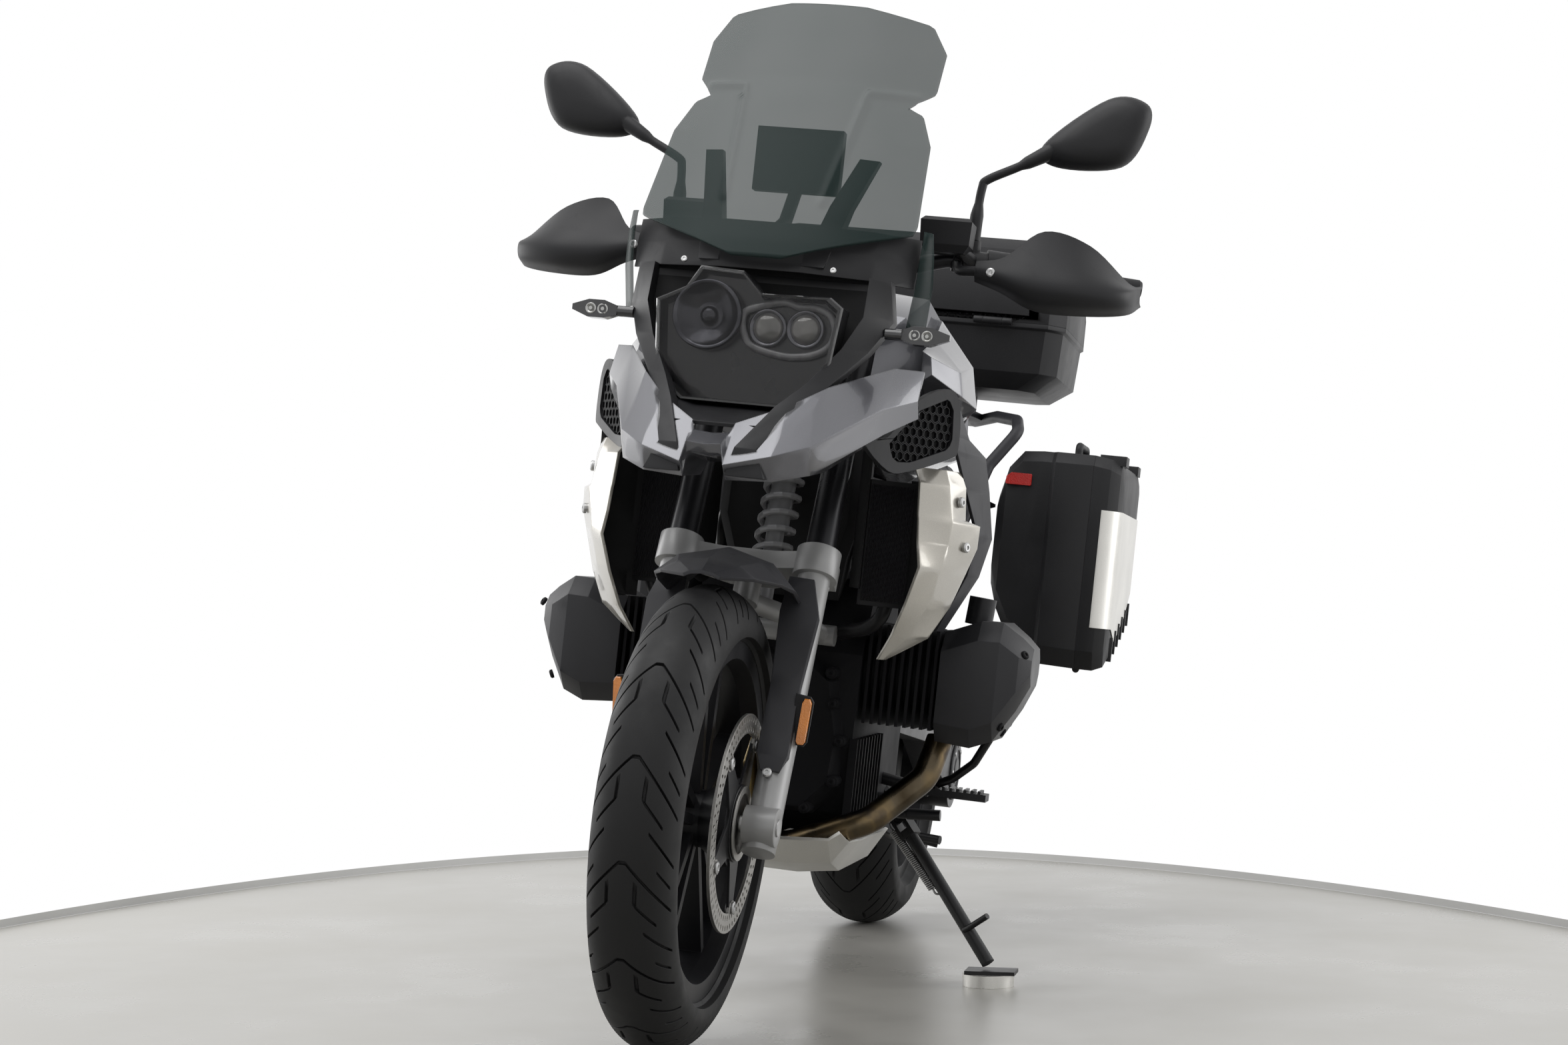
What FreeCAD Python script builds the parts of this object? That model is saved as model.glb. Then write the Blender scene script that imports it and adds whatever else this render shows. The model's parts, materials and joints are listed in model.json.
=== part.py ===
import FreeCAD, Part
import math
import os
import Sketcher
from FreeCAD import Placement, Rotation, Vector

# Adventure motorcycle, parked on its side stand. Millimetres, +X is the
# machine's left, -Y its front, +Z up. Everything is drawn upright, with the
# ground under the middle of the wheelbase as origin, and is leaned at the end.

doc = FreeCAD.newDocument("AdventureMotorcycle")
sheet = doc.addObject("Spreadsheet::Sheet", "Dims")

DRIVING = [
    ("wheelbase", 1525), ("lean_angle", 6.24), ("rake_angle", 25.7), ("axle_offset", 50.3),
    ("front_tyre_radius", 325), ("front_tyre_width", 120), ("rear_tyre_radius", 318),
    ("rear_tyre_width", 170), ("front_rim_radius", 252), ("rear_rim_radius", 228),
    ("disc_radius", 152.5), ("disc_offset", 70), ("disc_thickness", 4.5), ("rear_disc_radius", 138),
    ("leg_spacing", 208), ("leg_lead", 34), ("stanchion_radius", 22), ("slider_radius", 24),
    ("bridge_height", 414), ("yoke_height", 884), ("bar_height", 952), ("bar_radius", 13),
    ("engine_half_width", 140), ("cylinder_reach", 400), ("cylinder_stagger", 36),
    ("cylinder_height", 534), ("barrel_end", 262), ("fin_pitch", 13), ("tube_radius", 16),
    ("screen_thickness", 4), ("panel_thickness", 5), ("case_wall", 4), ("top_case_split", 1184),
    ("pannier_seam", 396), ("running_fit", 0.05), ("puck_radius", 42), ("puck_height", 20),
    ("stand_bore_radius", 13),
]


class Size:
    """A size with the sheet expression that gives it."""

    def __init__(self, value, text):
        self.value = float(value)
        self.text = text

    def __float__(self):
        return self.value

    def __add__(self, other):
        return Size(self.value + float(other), f"({self.text} + {text_of(other)})")

    def __radd__(self, other):
        return Size(float(other) + self.value, f"({text_of(other)} + {self.text})")

    def __sub__(self, other):
        return Size(self.value - float(other), f"({self.text} - {text_of(other)})")

    def __rsub__(self, other):
        return Size(float(other) - self.value, f"({text_of(other)} - {self.text})")

    def __mul__(self, other):
        return Size(self.value * float(other), f"({self.text} * {text_of(other)})")

    def __rmul__(self, other):
        return self.__mul__(other)

    def __truediv__(self, other):
        return Size(self.value / float(other), f"({self.text} / {text_of(other)})")

    def __neg__(self):
        return Size(-self.value, f"(0 - {self.text})")


def text_of(size):
    return size.text if isinstance(size, Size) else f"{float(size):.6g}"


class Sizes:
    """The cells of the sheet, by alias."""

    def __init__(self):
        for row, (alias, value) in enumerate(DRIVING, 1):
            sheet.set(f"A{row}", alias)
            sheet.set(f"B{row}", str(value))
            sheet.setAlias(f"B{row}", alias)
            setattr(self, alias, Size(value, f"Dims.{alias}"))


d = Sizes()
doc.recompute()


def bind(item, name, size):
    """Gives a property its value, and its expression where the sheet holds one."""
    setattr(item, name, float(size))
    if isinstance(size, Size):
        item.setExpression(name, size.text)


def origin_plane(body, role):
    return [f for f in body.Origin.OriginFeatures if f.Role == role][0]


def new_body(name):
    body = doc.addObject("PartDesign::Body", name)
    body.AllowCompound = True
    return body


def add_sketch(body, role, lift=0):
    sketch = body.newObject("Sketcher::SketchObject", "Outline")
    sketch.AttachmentSupport = (origin_plane(body, role), [""])
    sketch.MapMode = "FlatFace"
    sketch.AttachmentOffset = Placement(Vector(0, 0, float(lift)), Rotation())
    if isinstance(lift, Size):
        sketch.setExpression("AttachmentOffset.Base.z", lift.text)
    return sketch


class Through:
    """The middle point of an arc between its two neighbours in an outline."""

    def __init__(self, x, y):
        self.at = Vector(float(x), float(y), 0)


def draw(sketch, outline):
    """A closed outline of straight sides and arcs, every corner held by its size."""
    corners = [p for p in outline if not isinstance(p, Through)]
    spots = [Vector(float(x), float(y), 0) for x, y in corners]
    middles = {}
    count = -1
    for point in outline:
        if isinstance(point, Through):
            middles[count] = point.at
        else:
            count += 1
    total = len(corners)
    first = sketch.GeometryCount
    ends = []
    for i in range(total):
        a, b = spots[i], spots[(i + 1) % total]
        if i in middles:
            arc = Part.Arc(a, middles[i], b)
            sketch.addGeometry(arc, False)
            circle = sketch.Geometry[first + i]
            forward = (circle.StartPoint - a).Length < (circle.EndPoint - a).Length
            ends.append((1, 2) if forward else (2, 1))
        else:
            sketch.addGeometry(Part.LineSegment(a, b), False)
            ends.append((1, 2))
    rules = []
    for i in range(total):
        after = (i + 1) % total
        rules.append(Sketcher.Constraint("Coincident", first + i, ends[i][1], first + after, ends[after][0]))
    named = []
    for i, (x, y) in enumerate(corners):
        for kind, size in (("DistanceX", x), ("DistanceY", y)):
            rules.append(Sketcher.Constraint(kind, -1, 1, first + i, ends[i][0], float(size)))
            if isinstance(size, Size):
                named.append((len(rules) - 1, size.text))
    for i in middles:
        rules.append(Sketcher.Constraint("Radius", first + i, sketch.Geometry[first + i].Radius))
    start = sketch.ConstraintCount
    sketch.addConstraint(rules)
    for index, text in named:
        sketch.setExpression(f"Constraints[{start + index}]", text)


def padded(name, role, lift, outlines, length):
    """Outlines on a plane of the origin, raised by lift and padded by length."""
    body = new_body(name)
    sketch = add_sketch(body, role, lift)
    for outline in outlines:
        draw(sketch, outline)
    pad = body.newObject("PartDesign::Pad", "Pad")
    pad.Profile = sketch
    bind(pad, "Length", length)
    body.Tip = pad
    return body


def turned(name, outlines, angle=360):
    """Outlines of (along X, radius) turned about the X axis."""
    body = new_body(name)
    sketch = add_sketch(body, "XZ_Plane")
    for outline in outlines:
        draw(sketch, outline)
    turn = body.newObject("PartDesign::Revolution", "Revolution")
    turn.Profile = sketch
    turn.ReferenceAxis = (sketch, ["H_Axis"])
    turn.Angle = angle
    body.Tip = turn
    return body


def polar(body, feature, count):
    """The feature repeated about the X axis."""
    pattern = body.newObject("PartDesign::PolarPattern", "Around")
    pattern.Originals = [feature]
    pattern.Axis = (feature.Profile[0], ["N_Axis"])
    pattern.Angle = 360
    pattern.Occurrences = count
    body.Tip = pattern
    return pattern


def lofted(name, role, stations, ruled=True):
    """A solid through outlines that stand at stations along a plane's normal."""
    body = new_body(name)
    sketches = []
    for lift, outline in stations:
        sketch = add_sketch(body, role, lift)
        draw(sketch, outline)
        sketches.append(sketch)
    loft = body.newObject("PartDesign::AdditiveLoft", "Loft")
    loft.Profile = sketches[0]
    loft.Sections = sketches[1:]
    loft.Ruled = ruled
    body.Tip = loft
    return body


def band(line, thick):
    """A thin closed outline on one side of an open line of points, to its left."""
    spots = [Vector(float(x), float(y), 0) for x, y in line]
    offset = []
    for i, spot in enumerate(spots):
        before = spots[max(i - 1, 0)]
        after = spots[min(i + 1, len(spots) - 1)]
        along = (after - before).normalize()
        normal = Vector(-along.y, along.x, 0)
        offset.append((spot.x + normal.x * float(thick), spot.y + normal.y * float(thick)))
    return list(line) + offset[::-1]


def skinned(name, role, stations, thick):
    """A thin shell through open lines that stand at stations."""
    return lofted(name, role, [(lift, band(line, thick)) for lift, line in stations])


def toward(start, end):
    """The placement that turns +Z from start to end."""
    return Placement(start, Rotation(Vector(0, 0, 1), end - start))


def rod(start, end, radius, name="Rod"):
    """A round bar between two points."""
    start, end = Vector(*start), Vector(*end)
    item = doc.addObject("Part::Cylinder", name)
    bind(item, "Radius", radius)
    item.Height = (end - start).Length
    item.Placement = toward(start, end)
    return item


def box(low, high, name="Block"):
    """An upright block between two corners."""
    item = doc.addObject("Part::Box", name)
    sizes = [h - l for l, h in zip(low, high)]
    bind(item, "Length", sizes[0])
    bind(item, "Width", sizes[1])
    bind(item, "Height", sizes[2])
    item.Placement.Base = Vector(*[float(v) for v in low])
    return item


def bent_path(points, radius):
    """Straight runs joined by tangent arcs."""
    spots = [Vector(*p) for p in points]
    edges = []
    last = spots[0]
    for i in range(1, len(spots) - 1):
        back = (spots[i - 1] - spots[i]).normalize()
        ahead = (spots[i + 1] - spots[i]).normalize()
        turn = math.pi - back.getAngle(ahead)
        reach = min(radius * math.tan(turn / 2), 0.45 * (spots[i - 1] - spots[i]).Length,
                    0.45 * (spots[i + 1] - spots[i]).Length)
        bend = reach / math.tan(turn / 2)
        start, end = spots[i] + back * reach, spots[i] + ahead * reach
        inward = (back + ahead).normalize()
        middle = spots[i] + inward * (bend / math.cos(turn / 2) - bend)
        edges.append(Part.LineSegment(last, start).toShape())
        edges.append(Part.Arc(start, middle, end).toShape())
        last = end
    edges.append(Part.LineSegment(last, spots[-1]).toShape())
    return Part.Wire(edges)


def bent_tube(points, radius, bend, name="Tube"):
    """A round tube, solid, along straight runs and arcs."""
    path = bent_path(points, bend)
    start = Vector(*points[0])
    along = (Vector(*points[1]) - start).normalize()
    ring = Part.Wire(Part.makeCircle(float(radius), start, along))
    item = doc.addObject("Part::Feature", name)
    item.Shape = path.makePipeShell([ring], True, False)
    return item


def fused(items, name="Joined"):
    item = doc.addObject("Part::MultiFuse", name)
    item.Shapes = items
    item.Refine = True
    return item


def cut(base, tool, name="Trimmed"):
    item = doc.addObject("Part::Cut", name)
    item.Base = base
    item.Tool = tool
    return item


def together(items, name="Group"):
    """Pieces that do not touch, kept as one item."""
    item = doc.addObject("Part::Compound", name)
    item.Links = items
    return item


def mirrored(item, name="Mirrored"):
    """The same piece on the other side of the machine's middle plane."""
    copy = doc.addObject("Part::Mirroring", name)
    copy.Source = item
    copy.Normal = Vector(1, 0, 0)
    return copy


def both_sides(item):
    return [item, mirrored(item)]


def placed(item, base=(0, 0, 0), axis=(0, 0, 1), angle=0):
    item.Placement = Placement(Vector(*base), Rotation(Vector(*axis), angle)).multiply(item.Placement)
    return item


SHOULDER = 46


def crown_radius(width):
    """A tyre's crown: an arc over its width, as deep as its shoulders."""
    half = float(width) / 2 - 2
    return (half ** 2 + SHOULDER ** 2) / (2 * SHOULDER)


# Wheel centres stand so high that the leaned tyres just touch the ground
lean = math.radians(float(d.lean_angle))
rise = 1 / math.cos(lean) - 1
FRONT_AXLE = Vector(0, -float(d.wheelbase) / 2, float(d.front_tyre_radius) + crown_radius(d.front_tyre_width) * rise)
REAR_AXLE = Vector(0, float(d.wheelbase) / 2, float(d.rear_tyre_radius) + crown_radius(d.rear_tyre_width) * rise)

# The steering axis, and the fork's own frame: across, ahead of the axis, up along it
rake = math.radians(float(d.rake_angle))
UP_FORK = Vector(0, math.sin(rake), math.cos(rake))
AHEAD_FORK = Vector(0, -math.cos(rake), math.sin(rake))
FORK_FOOT = FRONT_AXLE - AHEAD_FORK * float(d.axle_offset)


def fork(across, ahead, up):
    """A point of the fork's frame, in the upright machine's."""
    return FORK_FOOT + Vector(float(across), 0, 0) + AHEAD_FORK * float(ahead) + UP_FORK * float(up)


# In the fork's frame a piece is drawn with X across, Y to the rear and Z up
FORK_FRAME = Placement(FORK_FOOT, Rotation(Vector(1, 0, 0), -float(d.rake_angle)))


def on_fork(item):
    item.Placement = FORK_FRAME.multiply(item.Placement)
    return item


SUB_PARTS = []
BODIES = {}


def sub_part(item, label, body):
    SUB_PARTS.append((item, label))
    BODIES[label] = body
    return item


def wheel_tyre(name, radius, width, rim_radius, rim_half):
    """A tubeless tyre that sits on its rim's shoulders."""
    half = width / 2 - 2
    bend = crown_radius(width)
    reach = math.acos(1 - SHOULDER / bend)
    crown = []
    for step in range(2, -3, -1):
        angle = reach * step / 2
        crown.append((half * (math.sin(angle) / math.sin(reach)), radius - bend * (1 - math.cos(angle))))
    lip = rim_half + 7
    return turned(name, [[(-lip, rim_radius), (lip, rim_radius), *crown]])


def wheel_rim(name, rim_radius, rim_half, hub_radius, hub_half, spoke):
    """A cast wheel: rim, hub and five forked spokes."""
    lip = rim_half + 7
    barrel = turned(name + "Barrel", [[
        (-lip, rim_radius - 26), (-lip, rim_radius), (-rim_half, rim_radius),
        (-rim_half, rim_radius - 14), (rim_half, rim_radius - 14), (rim_half, rim_radius),
        (lip, rim_radius), (lip, rim_radius - 26), (rim_half - 18, rim_radius - 32),
        (-rim_half + 18, rim_radius - 32),
    ]])
    hub = turned(name + "Hub", [[
        (-hub_half, 18), (-hub_half, hub_radius), (-hub_half + 12, hub_radius),
        (-24, hub_radius - 22), (24, hub_radius - 22), (hub_half - 12, hub_radius),
        (hub_half, hub_radius), (hub_half, 18),
    ]])
    root, tip = hub_radius - 26, rim_radius - 26
    blades = []
    for side in (-1, 1):
        blades.append([
            (side * spoke["foot"], root), (side * (spoke["foot"] + spoke["wide"]), root),
            (side * (spoke["head"] + spoke["narrow"]), tip), (side * spoke["head"], tip),
        ])
    arms = padded(name + "Spokes", "YZ_Plane", -spoke["depth"] / 2, blades, spoke["depth"])
    polar(arms, arms.Tip, 5)
    return fused([barrel, hub, arms], name)


def brake_disc(name, inner, outer, thick, offset, arms):
    """A disc with its carrier: two rings joined by short arms."""
    rings = turned(name + "Rings", [
        [(offset - thick / 2, outer - 33), (offset - thick / 2, outer),
         (offset + thick / 2, outer), (offset + thick / 2, outer - 33)],
        [(offset - thick / 2, inner), (offset - thick / 2, inner + 14),
         (offset + thick / 2, inner + 14), (offset + thick / 2, inner)],
    ])
    bridge = padded(name + "Arms", "YZ_Plane", offset - thick / 2, [[
        (-7, inner + 8), (7, inner + 8), (7, outer - 28), (-7, outer - 28),
    ]], thick)
    polar(bridge, bridge.Tip, arms)
    return fused([rings, bridge], name)


# Front wheel
front_tyre = wheel_tyre("FrontTyre", d.front_tyre_radius, d.front_tyre_width, d.front_rim_radius, 37)
front_rim = wheel_rim("FrontRim", d.front_rim_radius, 37, 62, 67.5,
                      {"foot": 4, "wide": 15, "head": 30, "narrow": 13, "depth": 34})
front_discs = together([
    brake_disc("FrontDiscLeft", 40, d.disc_radius, d.disc_thickness, d.disc_offset, 10),
    brake_disc("FrontDiscRight", 40, d.disc_radius, d.disc_thickness, -d.disc_offset, 10),
], "FrontDiscs")
for item, label in ((front_tyre, "front_tyre"), (front_rim, "front_rim"), (front_discs, "front_discs")):
    placed(item, FRONT_AXLE)
    sub_part(item, label, "front_wheel")

# Rear wheel, open on its right, carried by the drive housing on its left
rear_tyre = wheel_tyre("RearTyre", d.rear_tyre_radius, d.rear_tyre_width, d.rear_rim_radius, 57)
rear_rim = wheel_rim("RearRim", d.rear_rim_radius, 57, 66, 44,
                     {"foot": 5, "wide": 17, "head": 30, "narrow": 15, "depth": 40})
rear_disc = brake_disc("RearDisc", 52, d.rear_disc_radius, 5, -50, 8)
for item, label in ((rear_tyre, "rear_tyre"), (rear_rim, "rear_rim"), (rear_disc, "rear_disc")):
    placed(item, REAR_AXLE)
    sub_part(item, label, "rear_wheel")

# Fork: stanchions in a top yoke, sliders in a lower bridge, axle between their feet
leg_x = float(d.leg_spacing) / 2
lead = -float(d.leg_lead)
bridge_z = float(d.bridge_height)
yoke_z = float(d.yoke_height)
stanchion = rod((leg_x, lead, bridge_z + 22), (leg_x, lead, yoke_z + 14), d.stanchion_radius)
sub_part(on_fork(together(both_sides(stanchion), "Stanchions")), "fork_tubes", "steering")

slider = rod((leg_x, lead, -34), (leg_x, lead, bridge_z + 22), d.slider_radius)
foot = rod((leg_x - 22, -float(d.axle_offset), 0), (leg_x + 24, -float(d.axle_offset), 0), 27)
clamp = rod((leg_x, lead, bridge_z - 22), (leg_x, lead, bridge_z + 22), 33)
pinch = box((leg_x + 10, lead + 20, bridge_z - 18), (leg_x + 26, lead + 44, bridge_z + 18))
axle_bore = rod((-160, -float(d.axle_offset), 0), (160, -float(d.axle_offset), 0), 12)
bridge_plate = padded("BridgePlate", "XY_Plane", bridge_z - 14, [[
    (-leg_x, lead - 20), (-40, lead - 6), (40, lead - 6), (leg_x, lead - 20),
    (leg_x, lead + 24), (34, lead + 64), (-34, lead + 64), (-leg_x, lead + 24),
]], 28)
ball_bore = rod((0, 0, bridge_z - 20), (0, 0, bridge_z + 20), 9 + d.running_fit)
lower_fork = fused(both_sides(slider) + both_sides(foot) + both_sides(clamp) + both_sides(pinch)
                   + [bridge_plate], "LowerFork")
sub_part(on_fork(cut(lower_fork, fused([axle_bore, ball_bore]), "Sliders")), "fork_sliders", "steering")

front_axle = rod((-leg_x - 26, 0, 0), (leg_x + 26, 0, 0), 12, "FrontAxle")
placed(front_axle, FRONT_AXLE)
sub_part(front_axle, "front_axle", "steering")

yoke_plate = padded("YokePlate", "XY_Plane", yoke_z - 14, [[
    (-136, lead - 26), (-72, lead - 34), (72, lead - 34), (136, lead - 26),
    (136, lead + 26), (70, 34), (-70, 34), (-136, lead + 26),
]], 28)
holes = fused([rod((s * leg_x, lead, yoke_z - 20), (s * leg_x, lead, yoke_z + 20), d.stanchion_radius)
               for s in (-1, 1)])
yoke_pin = rod((0, 0, yoke_z - 80), (0, 0, yoke_z - 10), 12)
bar_y = -4
bar_z = float(d.bar_height)
risers = [rod((s * 45, bar_y, yoke_z + 10), (s * 45, bar_y, bar_z + 18), 19) for s in (-1, 1)]
bar_hole = rod((-80, bar_y, bar_z), (80, bar_y, bar_z), d.bar_radius)
yoke = cut(fused([yoke_plate, yoke_pin] + risers), fused([holes, bar_hole]), "Yoke")
sub_part(on_fork(yoke), "top_yoke", "steering")

# Handlebar, grips and hand controls
bar_root = fork(0, -bar_y, bar_z)
BAR = [(0, bar_root.y, bar_root.z), (120, bar_root.y, bar_root.z), (205, bar_root.y + 12, bar_root.z + 26),
       (455, bar_root.y + 82, bar_root.z + 14)]
half_bar = bent_tube(BAR, d.bar_radius, 60)
sub_part(fused(both_sides(half_bar), "Handlebar"), "handlebar", "steering")


def along_bar(x):
    """The point of the outer handlebar at a distance from the middle."""
    a, b = Vector(*BAR[2]), Vector(*BAR[3])
    return a + (b - a) * ((x - a.x) / (b.x - a.x))


def sleeve(start, end, radius):
    return rod(along_bar(start), along_bar(end), radius)


bar_core = rod(along_bar(206), along_bar(470), d.bar_radius)
grip = fused([sleeve(312, 440, 17), sleeve(262, 311, 24), sleeve(226, 262, 19)])
lever_root = along_bar(286)
lever = bent_tube([lever_root + Vector(0, -22, 0), lever_root + Vector(10, -52, -2),
                   along_bar(350) + Vector(0, -62, -4), along_bar(432) + Vector(0, -50, -6)], 6, 20)
reservoir = lofted("Reservoir", "XY_Plane", [
    (1192, [(176, -352), (236, -350), (236, -316), (176, -318)]),
    (1204, [(168, -358), (244, -356), (244, -310), (168, -312)]),
    (1240, [(166, -360), (246, -358), (246, -308), (166, -310)]),
    (1246, [(172, -354), (240, -352), (240, -314), (172, -316)]),
])
neck = rod((226, -330, 1200), along_bar(244) + Vector(0, -8, 0), 10)
mirror_boss = rod(along_bar(240), along_bar(240) + Vector(0, -2, 34), 12)
control = cut(fused([grip, lever, reservoir, neck, mirror_boss]), bar_core)
sub_part(together(both_sides(control), "HandControls"), "hand_controls", "steering")

# Hand guards: a folded shell from a clamp on the bar round the grip to the bar's end
guard = skinned("Guard", "YZ_Plane", [
    (258, [(-352, 1150), (-360, 1158), (-362, 1170), (-354, 1182)]),
    (300, [(-350, 1136), (-372, 1146), (-374, 1166), (-350, 1192)]),
    (352, [(-336, 1114), (-372, 1130), (-374, 1166), (-306, 1242)]),
    (424, [(-318, 1114), (-360, 1128), (-362, 1162), (-294, 1226)]),
    (486, [(-290, 1124), (-322, 1136), (-324, 1158), (-276, 1176)]),
    (504, [(-230, 1146), (-258, 1150), (-260, 1168), (-230, 1178)]),
], -d.panel_thickness)
bar_end = rod(along_bar(455), along_bar(500), 15)
guard_arm = bent_tube([(264, -356, 1166), (232, -340, 1166), along_bar(218) + Vector(0, -10, -8)], 8, 24)
guard_clamp = sleeve(211, 225, 19)
guard_set = cut(fused([guard, bar_end, guard_arm, guard_clamp]), fused([bar_core, half_bar, control]))
sub_part(together(both_sides(guard_set), "Guards"), "hand_guards", "steering")

# Mirrors on bent stalks
mirror_shell = lofted("MirrorShell", "XZ_Plane", [
    (296, [(364, 1392), (374, 1372), (448, 1374), (474, 1420), (466, 1442), (428, 1446)]),
    (278, [(336, 1382), (358, 1352), (454, 1358), (488, 1416), (482, 1454), (426, 1457)]),
    (260, [(332, 1382), (356, 1350), (455, 1357), (490, 1416), (484, 1456), (425, 1459)]),
])
stalk = bent_tube([along_bar(240) + Vector(0, -2, 34), (244, bar_root.y + 26, 1312), (350, -276, 1374)], 7, 30)
mirror = cut(fused([cut(mirror_shell, stalk), stalk]), control)
sub_part(together(both_sides(mirror), "Mirrors"), "mirrors", "steering")

# Front mudguard: a visor over the tyre, with a guard down the front of either slider
MUDGUARD = [(836, 24, 658, 664), (800, 66, 660, 682), (740, 90, 656, 696), (690, 100, 648, 700),
            (640, 98, 634, 692), (604, 88, 636, 684)]
mudguard = skinned("Mudguard", "XZ_Plane", [
    (lift, [(-wide, low), (-0.64 * wide, low + 0.68 * (high - low)), (0, high),
            (0.64 * wide, low + 0.68 * (high - low)), (wide, low)])
    for lift, wide, low, high in MUDGUARD], d.panel_thickness)
leg_guard = on_fork(lofted("LegGuard", "XY_Plane", [
    (78, [(90, -62), (118, -62), (114, -52), (92, -52)]),
    (104, [(80, -65), (124, -63), (124, -48), (81, -48)]),
    (210, [(80, -67), (122, -64), (122, -50), (81, -50)]),
    (320, [(72, -70), (128, -64), (128, -50), (74, -50)]),
    (376, [(76, -70), (112, -66), (112, -50), (76, -50)]),
]))
leg_post = on_fork(rod((leg_x, lead, 60), (leg_x, lead, 392), d.slider_radius))
visor = cut(fused([mudguard] + both_sides(leg_guard)), fused(both_sides(leg_post)), "FrontMudguard")
sub_part(visor, "front_mudguard", "steering")

# Brake calipers straddle the discs behind the legs
slot_side = d.disc_thickness / 2 + 5.5
caliper_yoke = turned("Caliper", [[
    (d.disc_offset - 20, 112), (d.disc_offset - slot_side, 112),
    (d.disc_offset - slot_side, d.disc_radius + 6), (d.disc_offset + slot_side, d.disc_radius + 6),
    (d.disc_offset + slot_side, 112), (d.disc_offset + 20, 112),
    (d.disc_offset + 20, 178), (d.disc_offset - 20, 178),
]], 42)
placed(caliper_yoke, (0, -float(d.axle_offset), 0), (1, 0, 0), -62)
caliper = cut(caliper_yoke, rod((leg_x, lead, 40), (leg_x, lead, 260), d.slider_radius))
sub_part(on_fork(together(both_sides(caliper), "Calipers")), "front_calipers", "steering")

# Engine: crankcase with a bolted front cover
half = d.engine_half_width
crankcase = padded("Crankcase", "YZ_Plane", -half, [[
    (-318, 560), (-330, 420), (-296, 310), (-210, 268), (60, 268), (118, 330),
    (124, 520), (70, 640), (-120, 690), (-250, 676),
]], half * 2)
front_cover = lofted("FrontCover", "XZ_Plane", [
    (300, [(-60, 560), (60, 560), (116, 520), (136, 430), (128, 350), (84, 306), (-84, 306), (-128, 350),
           (-136, 430), (-116, 520)]),
    (352, [(-54, 548), (54, 548), (98, 514), (116, 430), (110, 360), (70, 318), (-70, 318), (-110, 360),
           (-116, 430), (-98, 514)]),
])
BOLTS = [(101, 529), (108, 482), (124, 426), (119, 363), (80, 318)]
bosses = fused([rod((x, -356, z), (x, -316, z), 9) for x, z in BOLTS])
engine = sub_part(fused([crankcase, front_cover] + both_sides(bosses), "EngineBlock"), "engine_block", "chassis")


def rounded(y, wide, low, high):
    """A block's outline on the YZ plane with cut corners."""
    chop = min(30, 0.3 * (high - low))
    return [(y - wide, low + chop), (y - wide + chop, low), (y + wide - chop, low), (y + wide, low + chop),
            (y + wide, high - chop), (y + wide - chop, high), (y - wide + chop, high), (y - wide, high - chop)]


CYLINDERS = []
HEADS = []
for side in (1, -1):
    y = -218 - side * float(d.cylinder_stagger) / 2
    z = float(d.cylinder_height)
    barrel_end = float(d.barrel_end)
    core = rod((side * float(half), y, z), (side * barrel_end, y, z), 58)
    fins = []
    x = float(half) + 8
    while x < barrel_end - 4:
        low = (min(side * x, side * (x + 5)), y - 78, z - 78)
        high = (max(side * x, side * (x + 5)), y + 78, z + 78)
        fins.append(box(low, high))
        x += float(d.fin_pitch)
    CYLINDERS.append(fused([core] + fins))
    HEAD = [(barrel_end, 88, 440, 610), (318, 96, 436, 633), (352, 94, 450, 634), (382, 78, 500, 614),
            (d.cylinder_reach, 56, 540, 598)]
    HEADS.append(lofted("HeadCover", "YZ_Plane", [
        (side * x, rounded(y, wide, low, high)) for x, wide, low, high in HEAD]))
sub_part(together(CYLINDERS, "Cylinders"), "cylinders", "chassis")
filler = rod((292, -150, 624), (296, -150, 668), 22)
HEADS[0] = fused([HEADS[0], filler])
heads = sub_part(together(HEADS, "HeadCovers"), "head_covers", "chassis")

# Frame: steering head, main spars, rear subframe, peg and stand brackets
head_low, head_high = fork(0, 0, yoke_z - 84), fork(0, 0, yoke_z - 26)
head_tube = rod(head_low, head_high, 27)
head_bore = rod(fork(0, 0, yoke_z - 100), fork(0, 0, yoke_z), 12 + d.running_fit)
spar = bent_tube([(20, head_low.y + 14, head_low.z + 20), (62, -318, 925), (112, -246, 800), (124, -60, 722),
                  (124, 120, 700), (108, 540, 765)], d.tube_radius, 60)
stay = bent_tube([(118, 124, 560), (118, 300, 660), (106, 540, 765)], 11, 60)
down_tube = bent_tube([(98, -262, 820), (112, -286, 740), (112, -250, 672)], 12, 40)
cross = rod((-118, 40, 712), (118, 40, 712), 14)
tail_cross = rod((-110, 520, 765), (110, 520, 765), 12)
frame_tubes = fused([head_tube, spar, mirrored(spar), stay, mirrored(stay), cross, tail_cross,
                     down_tube, mirrored(down_tube)])
frame = cut(frame_tubes, fused([head_bore, engine]), "Frame")
sub_part(frame, "frame", "chassis")

# Fuel tank between the steering head and the seat, with the lug of its cap's hinge
TANK = [(228, 105, 905, 1046), (180, 205, 885, 1118), (90, 236, 872, 1160), (0, 205, 858, 1128),
        (-100, 150, 846, 1010), (-150, 112, 846, 905)]
tank = lofted("Tank", "XZ_Plane", [
    (lift, [(-0.7 * wide, low), (-wide, low + 30), (-0.96 * wide, 0.45 * low + 0.55 * high),
            (-0.62 * wide, high - 14), (0, high), (0.62 * wide, high - 14),
            (0.96 * wide, 0.45 * low + 0.55 * high), (wide, low + 30), (0.7 * wide, low)])
    for lift, wide, low, high in TANK])
CAP_PIVOT = Vector(0, -136, 1170)
cap_post = box((-7, -141, 1138), (7, -131, 1170))
cap_lug = cut(fused([cap_post, rod((-7, -136, 1170), (7, -136, 1170), 6)]),
              rod((-9, -136, 1170), (9, -136, 1170), 3 + d.running_fit))
tank = cut(fused([tank, cap_lug]), frame, "FuelTank")
sub_part(tank, "fuel_tank", "chassis")

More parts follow.
